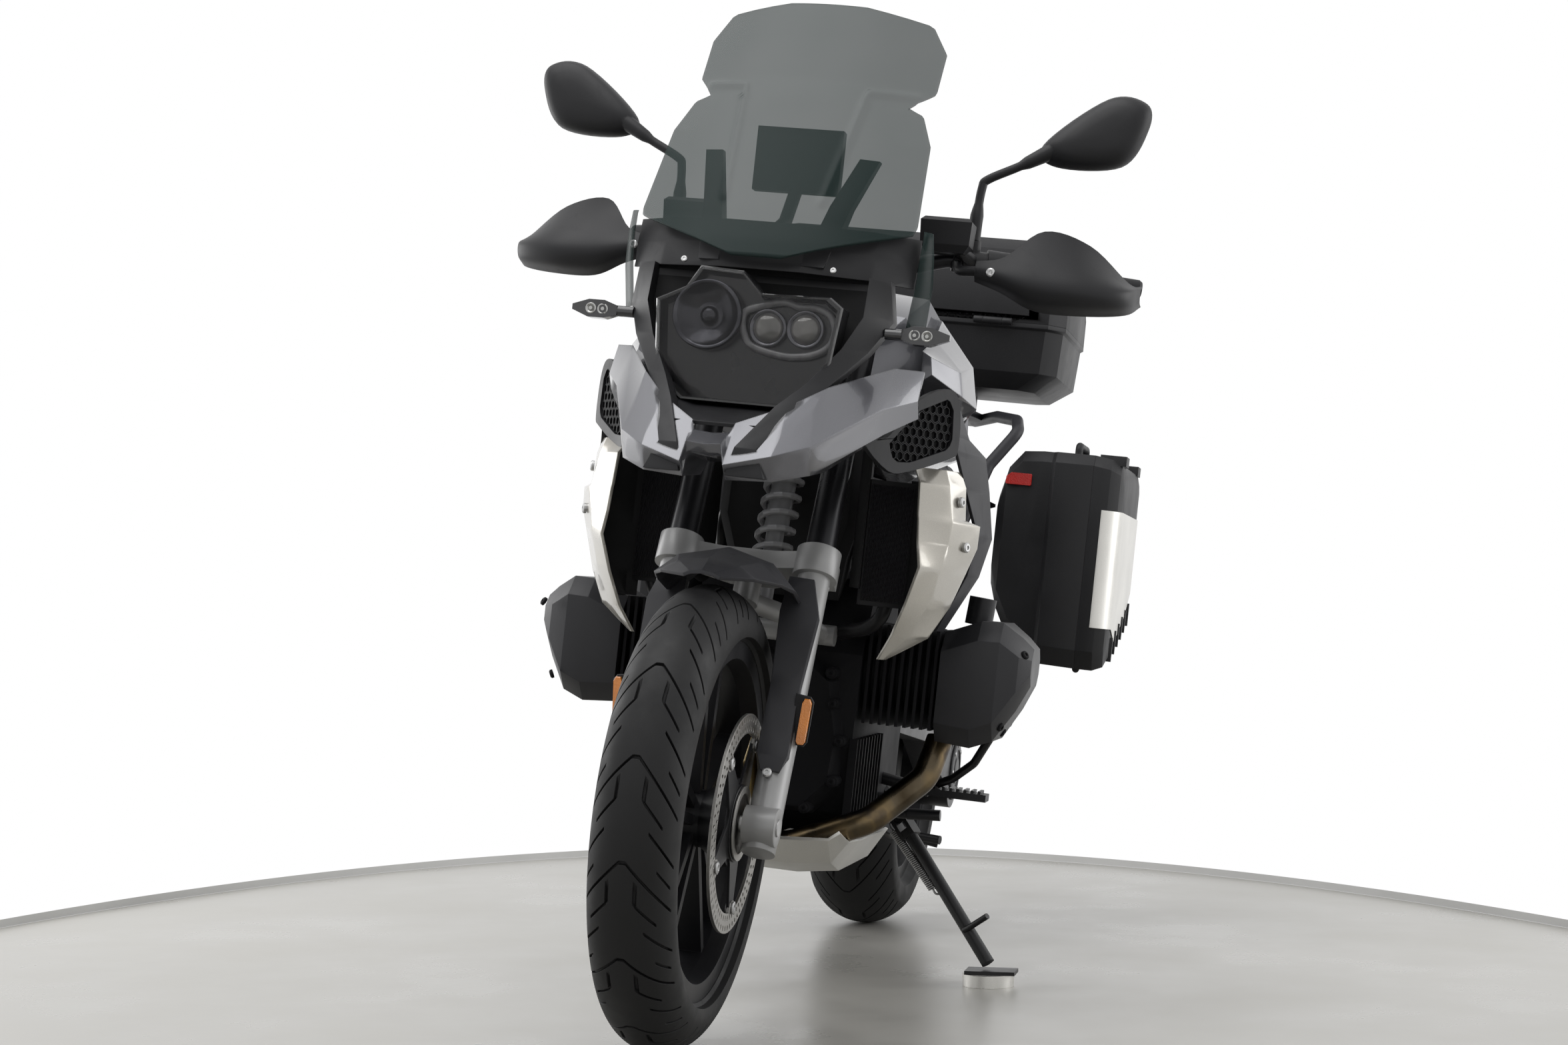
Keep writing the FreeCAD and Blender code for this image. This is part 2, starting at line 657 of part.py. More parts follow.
# Seat, one soft piece in two levels
SEAT = [(-156, 96, 800, 845), (-240, 130, 790, 850), (-380, 150, 790, 862), (-420, 140, 800, 905),
        (-560, 135, 815, 925), (-738, 110, 830, 930)]
seat = lofted("Seat", "XZ_Plane", [
    (lift, [(-wide, low), (-wide, low + 0.6 * (high - low)), (-wide * 0.8, high), (wide * 0.8, high),
            (wide, low + 0.6 * (high - low)), (wide, low)])
    for lift, wide, low, high in SEAT])
sub_part(seat, "seat", "chassis")

# Radiators either side of the fork and their outer panels, creased down the middle
radiator = padded("Radiator", "XY_Plane", 640, [[(148, -440), (214, -420), (206, -396), (140, -416)]], 190)
hose = rod((176, -408, 700), (132, -300, 660), 14)
sub_part(cut(together(both_sides(fused([radiator, hose]))), fused([engine, frame]), "Radiators"),
         "radiators", "chassis")

silver = skinned("SilverPanel", "XY_Plane", [
    (562, [(192, -470), (197, -462), (200, -452)]),
    (600, [(212, -488), (232, -462), (256, -425)]),
    (650, [(230, -500), (256, -466), (282, -410)]),
    (705, [(246, -508), (272, -466), (300, -400)]),
    (742, [(240, -509), (278, -466), (312, -396)]),
    (776, [(237, -509), (282, -468), (313, -396)]),
    (782, [(236, -509), (280, -468), (294, -424)]),
    (830, [(233, -506), (272, -468), (290, -424)]),
    (853, [(220, -488), (264, -468), (281, -430)]),
], d.panel_thickness)
silver_panels = sub_part(together(both_sides(silver), "SilverPanels"), "radiator_panels", "chassis")

# Air inlets: an upright plate turned outward, pierced by a honeycomb
INLET_RIM = [(-62, 874), (-18, 886), (38, 946), (96, 970), (124, 950), (130, 884), (112, 868), (34, 842), (-10, 838)]
INLET = [(0, 882), (105, 950), (110, 889), (33, 859)]
CELL, CELL_PITCH = 7.2, 16


def inside(point, outline, margin):
    """Whether a point is in an outline drawn clockwise, a margin away from its sides."""
    for i, (ax, ay) in enumerate(outline):
        bx, by = outline[(i + 1) % len(outline)]
        long = math.hypot(bx - ax, by - ay)
        if ((bx - ax) * (point[1] - ay) - (by - ay) * (point[0] - ax)) / long > -margin:
            return False
    return True


def honeycomb():
    """Six-sided cells in rows half a pitch apart, wherever a whole one fits the inlet."""
    cells = []
    for row in range(9):
        level = 857 + row * 0.866 * CELL_PITCH
        for column in range(9):
            along = -8 + (column + 0.5 * (row % 2)) * CELL_PITCH
            if inside((along, level), INLET, 0.8 * CELL):
                cells.append([(along + CELL * math.sin(turn * math.pi / 3),
                               level + CELL * math.cos(turn * math.pi / 3)) for turn in range(6)])
    return cells


grille = padded("Grille", "XZ_Plane", 0, [INLET_RIM] + honeycomb(), 9)
placed(grille, (205, -590, 0), (0, 0, 1), math.degrees(math.atan2(0.815, 0.58)))
grilles = sub_part(together(both_sides(grille), "Grilles"), "intake_grilles", "chassis")

side_cover = skinned("SideCover", "XY_Plane", [
    (612, [(264, -402), (270, -370), (258, -320)]),
    (700, [(300, -388), (312, -345), (284, -260)]),
    (760, [(310, -385), (324, -330), (290, -230)]),
    (830, [(288, -414), (314, -340), (284, -210)]),
    (882, [(276, -462), (304, -350), (276, -200)]),
    (905, [(272, -470), (282, -390), (262, -230)]),
    (945, [(266, -474), (270, -430), (250, -300)]),
], d.panel_thickness)
side_covers = sub_part(cut(together(both_sides(side_cover)), fused([silver_panels, grilles]), "SideCovers"),
                       "side_panels", "chassis")

# Painted covers on the tank's shoulders
shoulder = lofted("Shoulder", "XZ_Plane", [
    (474, [(212, 980), (228, 992), (224, 1018), (210, 1026)]),
    (400, [(214, 948), (266, 968), (260, 1004), (214, 1052)]),
    (310, [(214, 920), (276, 958), (264, 1022), (208, 1090)]),
    (228, [(190, 905), (252, 948), (240, 1030), (176, 1104)]),
    (130, [(170, 905), (226, 930), (212, 1010), (150, 1080)]),
])
shoulders = sub_part(cut(together(both_sides(shoulder)), fused([tank, side_covers, grilles]), "Shoulders"),
                     "tank_covers", "chassis")

# Beak: a painted shell of two prongs, joined by a lip and swept back into wings
beak_half = skinned("BeakHalf", "YZ_Plane", [
    (0, [(-770, 822), (-890, 826), (-900, 838), (-862, 856)]),
    (24, [(-770, 820), (-893, 826), (-903, 840), (-862, 858)]),
    (30, [(-780, 800), (-880, 793), (-906, 812), (-856, 872)]),
    (90, [(-770, 806), (-862, 797), (-884, 830), (-806, 905)]),
    (133, [(-730, 822), (-820, 812), (-842, 850), (-752, 940)]),
    (196, [(-620, 890), (-650, 886), (-676, 920), (-612, 985)]),
    (232, [(-562, 925), (-578, 918), (-598, 942), (-566, 988)]),
], -6)

# Struts from the windscreen's bracket down each side of the lamp to the beak's tips
side_strut = lofted("SideStrut", "XY_Plane", [
    (1104, [(158, -676), (186, -655), (186, -625), (158, -646)]),
    (1046, [(158, -694), (194, -650), (194, -618), (158, -655)]),
    (996, [(137, -722), (170, -694), (170, -662), (137, -690)]),
    (938, [(100, -768), (129, -750), (129, -716), (100, -736)]),
    (902, [(74, -820), (101, -804), (101, -768), (74, -784)]),
    (838, [(40, -890), (68, -880), (68, -842), (40, -852)]),
    (799, [(32, -898), (84, -888), (84, -852), (32, -862)]),
])
beak = cut(fused(both_sides(beak_half)), fused([grilles, silver_panels] + both_sides(side_strut)), "Beak")
sub_part(beak, "beak", "chassis")

# Headlamp: a cover with a raised corner over the main beam, and its housing
LAMP = [(-134, 1045), (-127, 964), (-114, 926), (-84, 904), (84, 904), (114, 926), (127, 964), (138, 1052),
        (119, 1066), (20, 1064), (-10, 1094), (-73, 1097), (-92, 1066)]
lamp = lofted("Lamp", "XZ_Plane", [
    (748, [(0.94 * x, 985 + 0.95 * (z - 985)) for x, z in LAMP]),
    (730, LAMP),
    (690, LAMP),
    (620, [(0.7 * x, 985 + 0.7 * (z - 985)) for x, z in LAMP]),
])
lamp = cut(lamp, fused(both_sides(side_strut)), "Headlamp")
sub_part(lamp, "headlamp", "chassis")

# Windscreen and its side deflectors
SCREEN = [(1118, 36, -724, -720), (1143, 104, -708, -690), (1178, 203, -682, -612), (1190, 206, -674, -602),
          (1323, 197, -576, -514), (1374, 176, -540, -482), (1384, 153, -533, -486), (1418, 184, -508, -430),
          (1488, 185, -462, -384), (1533, 158, -434, -376), (1548, 60, -424, -416)]
screen = skinned("Screen", "XY_Plane", [
    (z, [(-wide, edge), (-0.66 * wide, 0.52 * middle + 0.48 * edge), (-0.34 * wide, 0.86 * middle + 0.14 * edge),
         (0.34 * wide, 0.86 * middle + 0.14 * edge), (0.66 * wide, 0.52 * middle + 0.48 * edge), (wide, edge)])
    for z, wide, middle, edge in SCREEN], d.screen_thickness)
deflector = skinned("Deflector", "XY_Plane", [
    (1044, [(204, -604), (224, -566)]),
    (1110, [(212, -604), (230, -574)]),
    (1153, [(214, -604), (228, -580)]),
    (1186, [(216, -592), (224, -582)]),
], d.screen_thickness)
windscreen = sub_part(together([screen] + both_sides(deflector), "Windscreen"), "windscreen", "chassis")

# Cowl under the screen, chin under the lamp and the brackets behind the screen
cowl = skinned("Cowl", "XY_Plane", [
    (1102, [(-206, -600), (-150, -655), (-60, -690), (60, -690), (150, -655), (206, -600)]),
    (1140, [(-208, -590), (-150, -640), (-60, -678), (60, -678), (150, -640), (208, -590)]),
    (1176, [(-208, -576), (-150, -622), (-60, -652), (60, -652), (150, -622), (208, -576)]),
], -d.panel_thickness)
chin = skinned("Chin", "YZ_Plane", [
    (-118, [(-712, 916), (-742, 908), (-786, 898)]),
    (-60, [(-712, 900), (-760, 888), (-850, 866)]),
    (60, [(-712, 900), (-760, 888), (-850, 866)]),
    (118, [(-712, 916), (-742, 908), (-786, 898)]),
], -d.panel_thickness)
head_middle = fork(0, 0, yoke_z - 55)
nose_beam = cut(box((-22, -646, head_middle.z - 32), (22, head_middle.y - 34, head_middle.z - 2)), frame)
cross_beam = box((-168, -650, 1066), (168, -632, 1098))
bracket = lofted("ScreenBracket", "XY_Plane", [
    (1112, [(60, -694), (92, -686), (92, -636), (60, -644)]),
    (1170, [(72, -656), (102, -648), (102, -612), (72, -620)]),
    (1208, [(80, -632), (110, -624), (110, -598), (80, -606)]),
    (1290, [(104, -568), (132, -558), (132, -540), (104, -550)]),
])
fairing_parts = fused([cowl, chin, nose_beam, cross_beam] + both_sides(side_strut) + both_sides(bracket))
fairing = cut(fairing_parts, fused([beak, windscreen, lamp, frame]), "NoseFairing")
sub_part(fairing, "nose_fairing", "chassis")

display = box((-66, -520, 1242), (66, -498, 1338))
display_arm = bent_tube([(0, -506, 1250), (0, -560, 1190), (0, -640, 1160)], 10, 30)
sub_part(cut(fused([display, display_arm]), fairing, "Instruments"), "instruments", "chassis")

# Front arm from the frame to the lower bridge, and the sprung strut that stands on it
ball = fork(0, 0, bridge_z - 40)
arm_side = bent_tube([(78, -352, 586), (60, -430, 606), tuple(ball + Vector(0, 14, -12))], 15, 60)
arm_pivot = rod((-100, -350, 586), (100, -350, 586), 16)
ball_cup = rod(fork(0, 0, bridge_z - 58), fork(0, 0, bridge_z - 20), 20)
stud = rod(fork(0, 0, bridge_z - 24), fork(0, 0, bridge_z + 10), 9)
sub_part(fused([arm_side, mirrored(arm_side), arm_pivot, ball_cup, stud], "FrontArm"), "front_arm", "chassis")

STRUT_FOOT, STRUT_HEAD = Vector(0, -438, 626), Vector(0, -336, 930)
strut_axis = (STRUT_HEAD - STRUT_FOOT).normalize()
COIL_FROM, COIL_TO = 66, 232


def on_strut(along):
    return STRUT_FOOT + strut_axis * along


def coil_spring(long, pitch=27, radius=27, wire=5, steps=14, sides=8):
    """A coil along z, built of flat facets."""
    rings = []
    for step in range(round(long / pitch * steps) + 1):
        turn = 2 * math.pi * step / steps
        out = Vector(math.cos(turn), math.sin(turn), 0)
        middle = out * radius + Vector(0, 0, pitch * step / steps)
        along = Vector(-radius * math.sin(turn), radius * math.cos(turn), pitch / (2 * math.pi)).normalize()
        across = along.cross(out)
        spread = [2 * math.pi * side / sides for side in range(sides)]
        rings.append([middle + (out * math.cos(a) + across * math.sin(a)) * wire for a in spread])
    outlines = [rings[0][::-1], rings[-1]]
    for low, high in zip(rings, rings[1:]):
        for side in range(sides):
            after = (side + 1) % sides
            outlines += [(low[side], low[after], high[after]), (low[side], high[after], high[side])]
    faces = [Part.Face(Part.makePolygon([*outline, outline[0]])) for outline in outlines]
    return Part.Solid(Part.Shell(faces))


coil = doc.addObject("Part::Feature", "Coil")
coil.Shape = coil_spring(COIL_TO - COIL_FROM)
coil.Placement = toward(on_strut(COIL_FROM), on_strut(COIL_TO))
seats = [rod(on_strut(at - 5), on_strut(at + 5), 33) for at in (COIL_FROM, COIL_TO)]
strut_rod = rod(STRUT_FOOT, STRUT_HEAD, 14)
strut_body = rod(on_strut(120), on_strut(COIL_TO), 19)
sub_part(fused([strut_rod, strut_body, coil] + seats, "FrontStrut"), "front_strut", "chassis")

# Exhaust: header pipes round the front of the block, collector, silencer on the right
header_left = bent_tube([(262, -236, 440), (250, -262, 380), (180, -326, 308), (60, -336, 256), (-40, -200, 238)],
                        21, 60)
header_right = bent_tube([(-262, -200, 440), (-236, -216, 376), (-160, -250, 300), (-90, -180, 238)], 21, 60)
collector = box((-120, -206, 214), (20, 60, 262))
link_pipe = bent_tube([(-90, 30, 238), (-168, 150, 258), (-192, 320, 380)], 23, 80)
silencer = lofted("Silencer", "XZ_Plane", [
    (-300, [(-215, 352), (-165, 352), (-165, 404), (-215, 404)]),
    (-380, [(-228, 340), (-144, 340), (-140, 450), (-228, 450)]),
    (-820, [(-226, 430), (-144, 430), (-140, 560), (-226, 560)]),
])
sub_part(silencer, "silencer", "chassis")
pipes = fused([header_left, header_right, collector, link_pipe])
exhaust = sub_part(cut(pipes, fused([heads, silencer, engine]), "Exhaust"), "exhaust", "chassis")

skid = skinned("SkidPlate", "XZ_Plane", [
    (398, [(-150, 290), (-132, 276), (-60, 270), (60, 270), (132, 276), (150, 290)]),
    (350, [(-156, 274), (-130, 238), (-60, 230), (60, 230), (130, 238), (156, 274)]),
    (250, [(-156, 268), (-126, 216), (-60, 206), (60, 206), (126, 216), (156, 268)]),
    (-40, [(-150, 262), (-120, 212), (-60, 204), (60, 204), (120, 212), (150, 262)]),
], d.panel_thickness)
sub_part(cut(skid, fused([exhaust, engine]), "Skid"), "skid_plate", "chassis")

# Single-sided swing arm with the final drive on the left
arm = lofted("SwingArm", "XZ_Plane", [
    (-128, [(84, 420), (84, 500), (136, 500), (136, 420)]),
    (-420, [(96, 390), (96, 470), (146, 470), (146, 390)]),
    (-700, [(96, 280), (96, 370), (150, 370), (150, 280)]),
])
drive = rod((56, REAR_AXLE.y, REAR_AXLE.z), (150, REAR_AXLE.y, REAR_AXLE.z), 74)
axle_y, axle_z = REAR_AXLE.y, REAR_AXLE.z
spindle = rod((-70, axle_y, axle_z), (60, axle_y, axle_z), 18 - d.running_fit)
stand_bore = rod((-90, axle_y, axle_z), (170, axle_y, axle_z), d.stand_bore_radius)
sub_part(cut(fused([arm, drive, spindle]), stand_bore, "SwingArmSet"), "swing_arm", "chassis")

# Rear rack, grab rails, tail with its lamp and the carrier behind the wheel
rail = bent_tube([(110, 284, 738), (166, 288, 742), (212, 352, 905), (256, 378, 972), (244, 440, 996),
                  (190, 560, 1008), (120, 760, 1008)], 11, 30)
rack_plate = padded("RackPlate", "XY_Plane", 1004, [[(-140, 520), (140, 520), (150, 700), (110, 860),
                                                    (-110, 860), (-150, 700)]], 12)
case_feet = [box((x - 20, y - 24, 1012), (x + 20, y + 24, 1059.7)) for x in (-90, 90) for y in (580, 800)]
sub_part(cut(fused([rack_plate, rail, mirrored(rail)] + case_feet), frame, "Rack"), "rear_rack", "chassis")
tail_body = lofted("TailBody", "XZ_Plane", [
    (-558, [(-90, 740), (-90, 785), (90, 785), (90, 740)]),
    (-745, [(-80, 770), (-80, 826), (80, 826), (80, 770)]),
    (-900, [(-60, 810), (-60, 885), (60, 885), (60, 810)]),
])
carrier = lofted("Carrier", "XY_Plane", [
    (832, [(-34, 850), (34, 850), (34, 896), (-34, 896)]),
    (740, [(-30, 926), (30, 926), (30, 948), (-30, 948)]),
    (630, [(-62, 984), (62, 984), (62, 994), (-62, 994)]),
])
tail_lamp = lofted("TailLamp", "XZ_Plane", [
    (-890, [(-52, 826), (52, 826), (58, 872), (-58, 872)]),
    (-916, [(-46, 832), (46, 832), (52, 866), (-52, 866)]),
])
tail = sub_part(fused([tail_body, carrier, tail_lamp], "Tail"), "tail", "chassis")

# Cases: hollow, with lids on knuckled hinges
wall = d.case_wall
KNUCKLE, HINGE_PIN = 6.5, 3


def hinge_halves(centre, inner=18, outer=36):
    """A hinge along X: the bored middle knuckle below, the pinned outer ones above.

    Both leaves reach toward +Y."""
    ends = (centre - inner, centre + inner)
    middle = rod((ends[0], 0, 0), (ends[1], 0, 0), KNUCKLE)
    lower_leaf = box((ends[0], 0, -KNUCKLE), (ends[1], 11, -0.5))
    fixed = cut(fused([middle, lower_leaf]), rod((ends[0] - 1, 0, 0), (ends[1] + 1, 0, 0), HINGE_PIN + d.running_fit))
    moving = [rod((centre - outer, 0, 0), (centre + outer, 0, 0), HINGE_PIN)]
    for low, high in ((centre - outer, ends[0] - 0.3), (ends[1] + 0.3, centre + outer)):
        moving.append(rod((low, 0, 0), (high, 0, 0), KNUCKLE))
        moving.append(box((low, 0, 0.8), (high, 11, KNUCKLE)))
    return fixed, fused(moving)


def plan(wide, front, rear, inset=0):
    """A case's outline from above, with cut corners."""
    w, f, r = wide - inset, front + inset, rear - inset
    return [(-w, f + 34), (-w + 30, f), (w - 30, f), (w, f + 34),
            (w, r - 30), (w - 30, r), (-w + 30, r), (-w, r - 30)]


def tub(name, stations, shift_low, shift_high):
    """A hollow loft: its inner stations are drawn in by the wall, their ends moved as told."""
    outer = lofted(name, "XY_Plane", [(z, plan(*sizes)) for z, *sizes in stations])
    moved = [(z, sizes) for z, *sizes in stations]
    moved[0] = (moved[0][0] + shift_low, moved[0][1])
    moved[-1] = (moved[-1][0] + shift_high, moved[-1][1])
    inner = lofted(name + "Hollow", "XY_Plane", [(z, plan(*sizes, wall)) for z, sizes in moved])
    return cut(outer, inner)


seam_z = d.top_case_split
TOP_CASE = [(1060, 252, 548, 880), (1092, 294, 524, 905), (1172, 299, 517, 912), (1176, 304, 511, 918),
            (seam_z, 304, 511, 918)]
TOP_LID = [(seam_z + 0.3, 304, 511, 918), (1236, 304, 512, 916), (1322, 292, 524, 904), (1345, 262, 552, 878)]
LID_HINGE = Vector(0, 502, float(seam_z))
case_halves, lid_halves = [], []
for centre in (-170, 170):
    fixed, moving = hinge_halves(centre)
    case_halves.append(placed(fixed, LID_HINGE))
    lid_halves.append(placed(moving, LID_HINGE))
latch = box((-34, 914, 1150), (34, 924, 1180))
top_case = fused([tub("TopCase", TOP_CASE, wall, wall), latch] + case_halves, "TopCaseSet")
sub_part(top_case, "top_case", "chassis")
lid_panel = lofted("LidPanel", "XY_Plane", [
    (1198, [(-236, 506), (236, 506), (236, 518), (-236, 518)]),
    (1320, [(-226, 518), (226, 518), (226, 530), (-226, 530)]),
])
lid_hollow = lofted("LidHollow", "XY_Plane", [
    (1190, plan(296, 520, 908)), (1240, plan(299, 520, 908)), (1318, plan(287, 530, 898)),
])
top_lid = fused([tub("TopLid", TOP_LID, -wall, -wall), cut(lid_panel, lid_hollow)] + lid_halves, "TopLidSet")
sub_part(top_lid, "top_case_lid", "top_case_lid")


def side_profile(front, low, high, inset=0, rear=830):
    """A pannier's outline from the side: its floor rises to the rear."""
    f, l, h, r = front + inset, low + inset, high - inset, rear - inset
    return [(f, l + 34), (f + 20, l), (r - 20, l + 84), (r, l + 108),
            (r, h - 14), (r - 18, h), (f + 20, h), (f, h - 20)]


seam_x = d.pannier_seam
PANNIER = [(223, 446, 694, 856), (238, 430, 650, 910), (264, 425, 600, 942), (300, 425, 568, 945),
           (318, 425, 558, 945), (326, 405, 556, 945), (seam_x, 405, 554, 945)]
PANNIER_LID = [(seam_x + 0.3, 405, 554, 945, 830), (428, 405, 554, 940, 830), (446, 418, 562, 932, 820),
               (452, 440, 580, 912, 800)]
slope = math.degrees(math.atan2(84, 385))
FLOOR_WAY = Vector(0, math.cos(math.radians(slope)), math.sin(math.radians(slope)))
PANNIER_HINGE = Vector(float(seam_x), 425, 554) + Vector(0, 0.21, -1).normalize() * 9
# The hinge's own frame: X back along the floor, Y up to it, Z outward
HINGE_FRAME = Placement(PANNIER_HINGE, Rotation(FLOOR_WAY, Vector(1, 0, 0).cross(FLOOR_WAY), Vector(1, 0, 0), "XZY"))


def pannier_shell(name, stations, first, last):
    """A hollow loft along X, its ends moved as told so that one side stays open."""
    outer = lofted(name, "YZ_Plane", [(x, side_profile(*s[:3], 0, *s[3:])) for x, *s in stations])
    moved = [[float(x)] + s for x, *s in stations]
    moved[0][0] += first
    moved[-1][0] += last
    inner = lofted(name + "Hollow", "YZ_Plane", [(x, side_profile(*s[:3], wall, *s[3:])) for x, *s in moved])
    return cut(outer, inner)


fixed_knuckles, moving_knuckles = [], []
for centre in (70, 310):
    fixed, moving = hinge_halves(centre)
    for piece, group in ((fixed, fixed_knuckles), (moving, moving_knuckles)):
        piece.Placement = HINGE_FRAME.multiply(piece.Placement)
        group.append(piece)
pannier = fused([pannier_shell("Pannier", PANNIER, float(wall), float(wall))] + fixed_knuckles)
handle = bent_tube([(360, 470, 941), (360, 470, 962), (360, 600, 962), (360, 600, 941)], 7, 12)
pannier = fused([pannier, handle])
lid_caps = [box((404, 430, 930), (452, 492, 948)), box((404, 740, 930), (450, 802, 948))]
ribs = [box((440, y, 566 + 0.218 * (y - 440)), (457, y + 9, 610 + 0.218 * (y - 440))) for y in range(470, 800, 60)]
lid_space = lofted("LidSpace", "YZ_Plane", [
    (380, side_profile(405, 554, 945, wall)), (428, side_profile(405, 554, 940, wall)),
    (444, side_profile(418, 562, 932, wall, 820)), (448, side_profile(440, 580, 912, wall, 800)),
])
pannier_lid = fused([pannier_shell("PannierLid", PANNIER_LID, -float(wall), -float(wall)),
                     cut(together(lid_caps + ribs), lid_space)] + moving_knuckles)
for case, lid, side in ((pannier, pannier_lid, "left"), (mirrored(pannier), mirrored(pannier_lid), "right")):
    sub_part(case, f"pannier_{side}", "chassis")
    sub_part(lid, f"pannier_lid_{side}", f"pannier_lid_{side}")

# Foot controls: serrated pegs on hangers, a pedal on either side
peg = box((214, -32, 332), (318, 12, 344))
teeth = [box((x, -32, 343), (x + 5, 12, 349)) for x in range(220, 316, 12)]
peg_arm = rod((138, -8, 350), (220, -8, 338), 10)
lever_arm = bent_tube([(148, -54, 318), (172, -104, 306), (196, -140, 306), (222, -140, 309)], 7, 12)
toe = rod((208, -140, 308), (262, -140, 312), 9)
pivot = rod((136, -54, 318), (158, -54, 318), 12)
bumper = bent_tube([(204, 2, 336), (262, -34, 366), (300, -84, 398), (330, -130, 450)], 7, 40)
left_foot = fused([peg, peg_arm] + teeth + [bumper])
right_foot = mirrored(fused([peg, peg_arm] + teeth))
pedals = both_sides(fused([lever_arm, toe, pivot]))
sub_part(cut(together([left_foot, right_foot] + pedals), fused([engine, heads]), "FootControls"), "foot_controls",
         "chassis")

# Indicators on short stalks
lens = lofted("Lens", "YZ_Plane", [
    (210, [(-668, 1022), (-654, 1022), (-654, 1036), (-668, 1036)]),
    (228, [(-674, 1016), (-648, 1016), (-648, 1040), (-674, 1042)]),
    (252, [(-672, 1016), (-650, 1016), (-650, 1038), (-672, 1042)]),
    (279, [(-664, 1026), (-656, 1026), (-656, 1032), (-664, 1034)]),
])
indicator = fused([rod((186, -660, 1029), (216, -660, 1029), 8), lens])
rear_lens = lofted("RearLens", "YZ_Plane", [
    (104, [(794, 840), (808, 840), (808, 854), (794, 854)]),
    (124, [(788, 834), (814, 834), (814, 860), (788, 860)]),
    (150, [(790, 836), (812, 836), (812, 858), (790, 858)]),
    (172, [(798, 844), (804, 844), (804, 850), (798, 850)]),
])
rear_indicator = fused([rod((76, 800, 847), (108, 800, 847), 7), rear_lens])
lights = together(both_sides(indicator) + both_sides(rear_indicator))
sub_part(cut(lights, fused([tail, fairing]), "Indicators"), "indicators", "chassis")

# Side stand on its puck
SIDE_PIVOT = Vector(166, 20, 292)
ground = math.tan(lean)
foot_x, foot_y = 358, -57
floor_up = Rotation(Vector(0, 1, 0), -float(d.lean_angle))
puck = rod((0, 0, 0), (0, 0, d.puck_height), d.puck_radius, "Puck")
puck.Placement = Placement(Vector(foot_x, foot_y, foot_x * ground), floor_up)
sub_part(puck, "stand_puck", "side_stand")
ankle = Vector(foot_x, foot_y, foot_x * ground) + floor_up.multVec(Vector(0, 0, float(d.puck_height) + 16))
leg_way = (ankle - SIDE_PIVOT).normalize()
folded_way = Vector(0.22, 0.97, 0.06).normalize()
stand_axis = leg_way.cross(folded_way).normalize()
# The stand's own frame: X down the leg, Z along the pivot bolt
STAND_FRAME = Placement(SIDE_PIVOT, Rotation(leg_way, stand_axis.cross(leg_way), stand_axis, "XZY"))
leg_length = (ankle - SIDE_PIVOT).Length


def on_stand(item):
    item.Placement = STAND_FRAME.multiply(item.Placement)
    return item


ears = [box((-14, -14, low), (44, 14, low + 6)) for low in (7.5, -13.5)]
leg = rod((40, 0, 0), (leg_length, 0, 0), 11)
leg_root = box((34, -13, -13.5), (48, 13, 13.5))
bolt = rod((0, 0, -20), (0, 0, 20), 5)
stand_arm = on_stand(fused(ears + [leg, leg_root, bolt]))
sole = box((-36, -27, 0), (46, 27, 6))
sole.Placement = Placement(puck.Placement.Base + floor_up.multVec(Vector(0, 0, float(d.puck_height))),
                           floor_up).multiply(sole.Placement)
tang = rod(ankle + Vector(-46, 10, 46), ankle + Vector(-8, -14, 78), 5)
below_sole = box((-80, -80, -60), (80, 80, float(d.puck_height)))
below_sole.Placement = Placement(puck.Placement.Base, floor_up).multiply(below_sole.Placement)
sub_part(cut(fused([stand_arm, sole, tang]), below_sole, "SideStand"), "side_stand", "side_stand")

# Stand brackets on the crankcase: a bored block for the side stand, plates for the other
CENTRE_PIVOT = Vector(0, 190, 262)
hinge_block = on_stand(fused([rod((0, 0, -7), (0, 0, 7), 17), box((-60, -10, -6.5), (-8, 10, 6.5))]))
side_bracket = cut(hinge_block, on_stand(rod((0, 0, -9), (0, 0, 9), 5 + d.running_fit)))
plate = padded("StandPlate", "YZ_Plane", 127, [[(50, 300), (122, 350), (204, 286), (208, 250), (180, 238),
                                               (50, 262)]], 8)
plates = cut(together(both_sides(plate)), rod((-150, 190, 262), (150, 190, 262), 9 + d.running_fit))
brackets = cut(together([side_bracket, plates]), fused([engine, exhaust]), "StandBrackets")
sub_part(brackets, "stand_brackets", "chassis")

centre_leg = bent_tube([(108, 190, 262), (108, 330, 226), (108, 470, 214)], 12, 60)
centre_foot = rod((108, 462, 214), (176, 470, 204), 10)
centre_cross = rod((-121, 190, 262), (121, 190, 262), 14)
centre_pin = rod((-140, 190, 262), (140, 190, 262), 9)
pedal = rod((108, 440, 216), (186, 420, 214), 8)
sub_part(fused(both_sides(centre_leg) + both_sides(centre_foot) + [centre_cross, centre_pin, pedal], "CentreStand"),
         "centre_stand", "centre_stand")

cap_arms = [box((low, -142, 1165), (low + 6, -96, 1176)) for low in (-13.3, 7.3)]
cap_pin = rod((-13, -136, 1170), (13, -136, 1170), 3)
cap_eyes = [rod((low, -136, 1170), (low + 6, -136, 1170), 6) for low in (-13.3, 7.3)]
cap_disc = rod((0, -84, 1162), (0, -84, 1178), 36)
sub_part(cut(fused([cap_disc, cap_pin] + cap_arms + cap_eyes), tank, "FuelCap"), "fuel_cap", "fuel_cap")

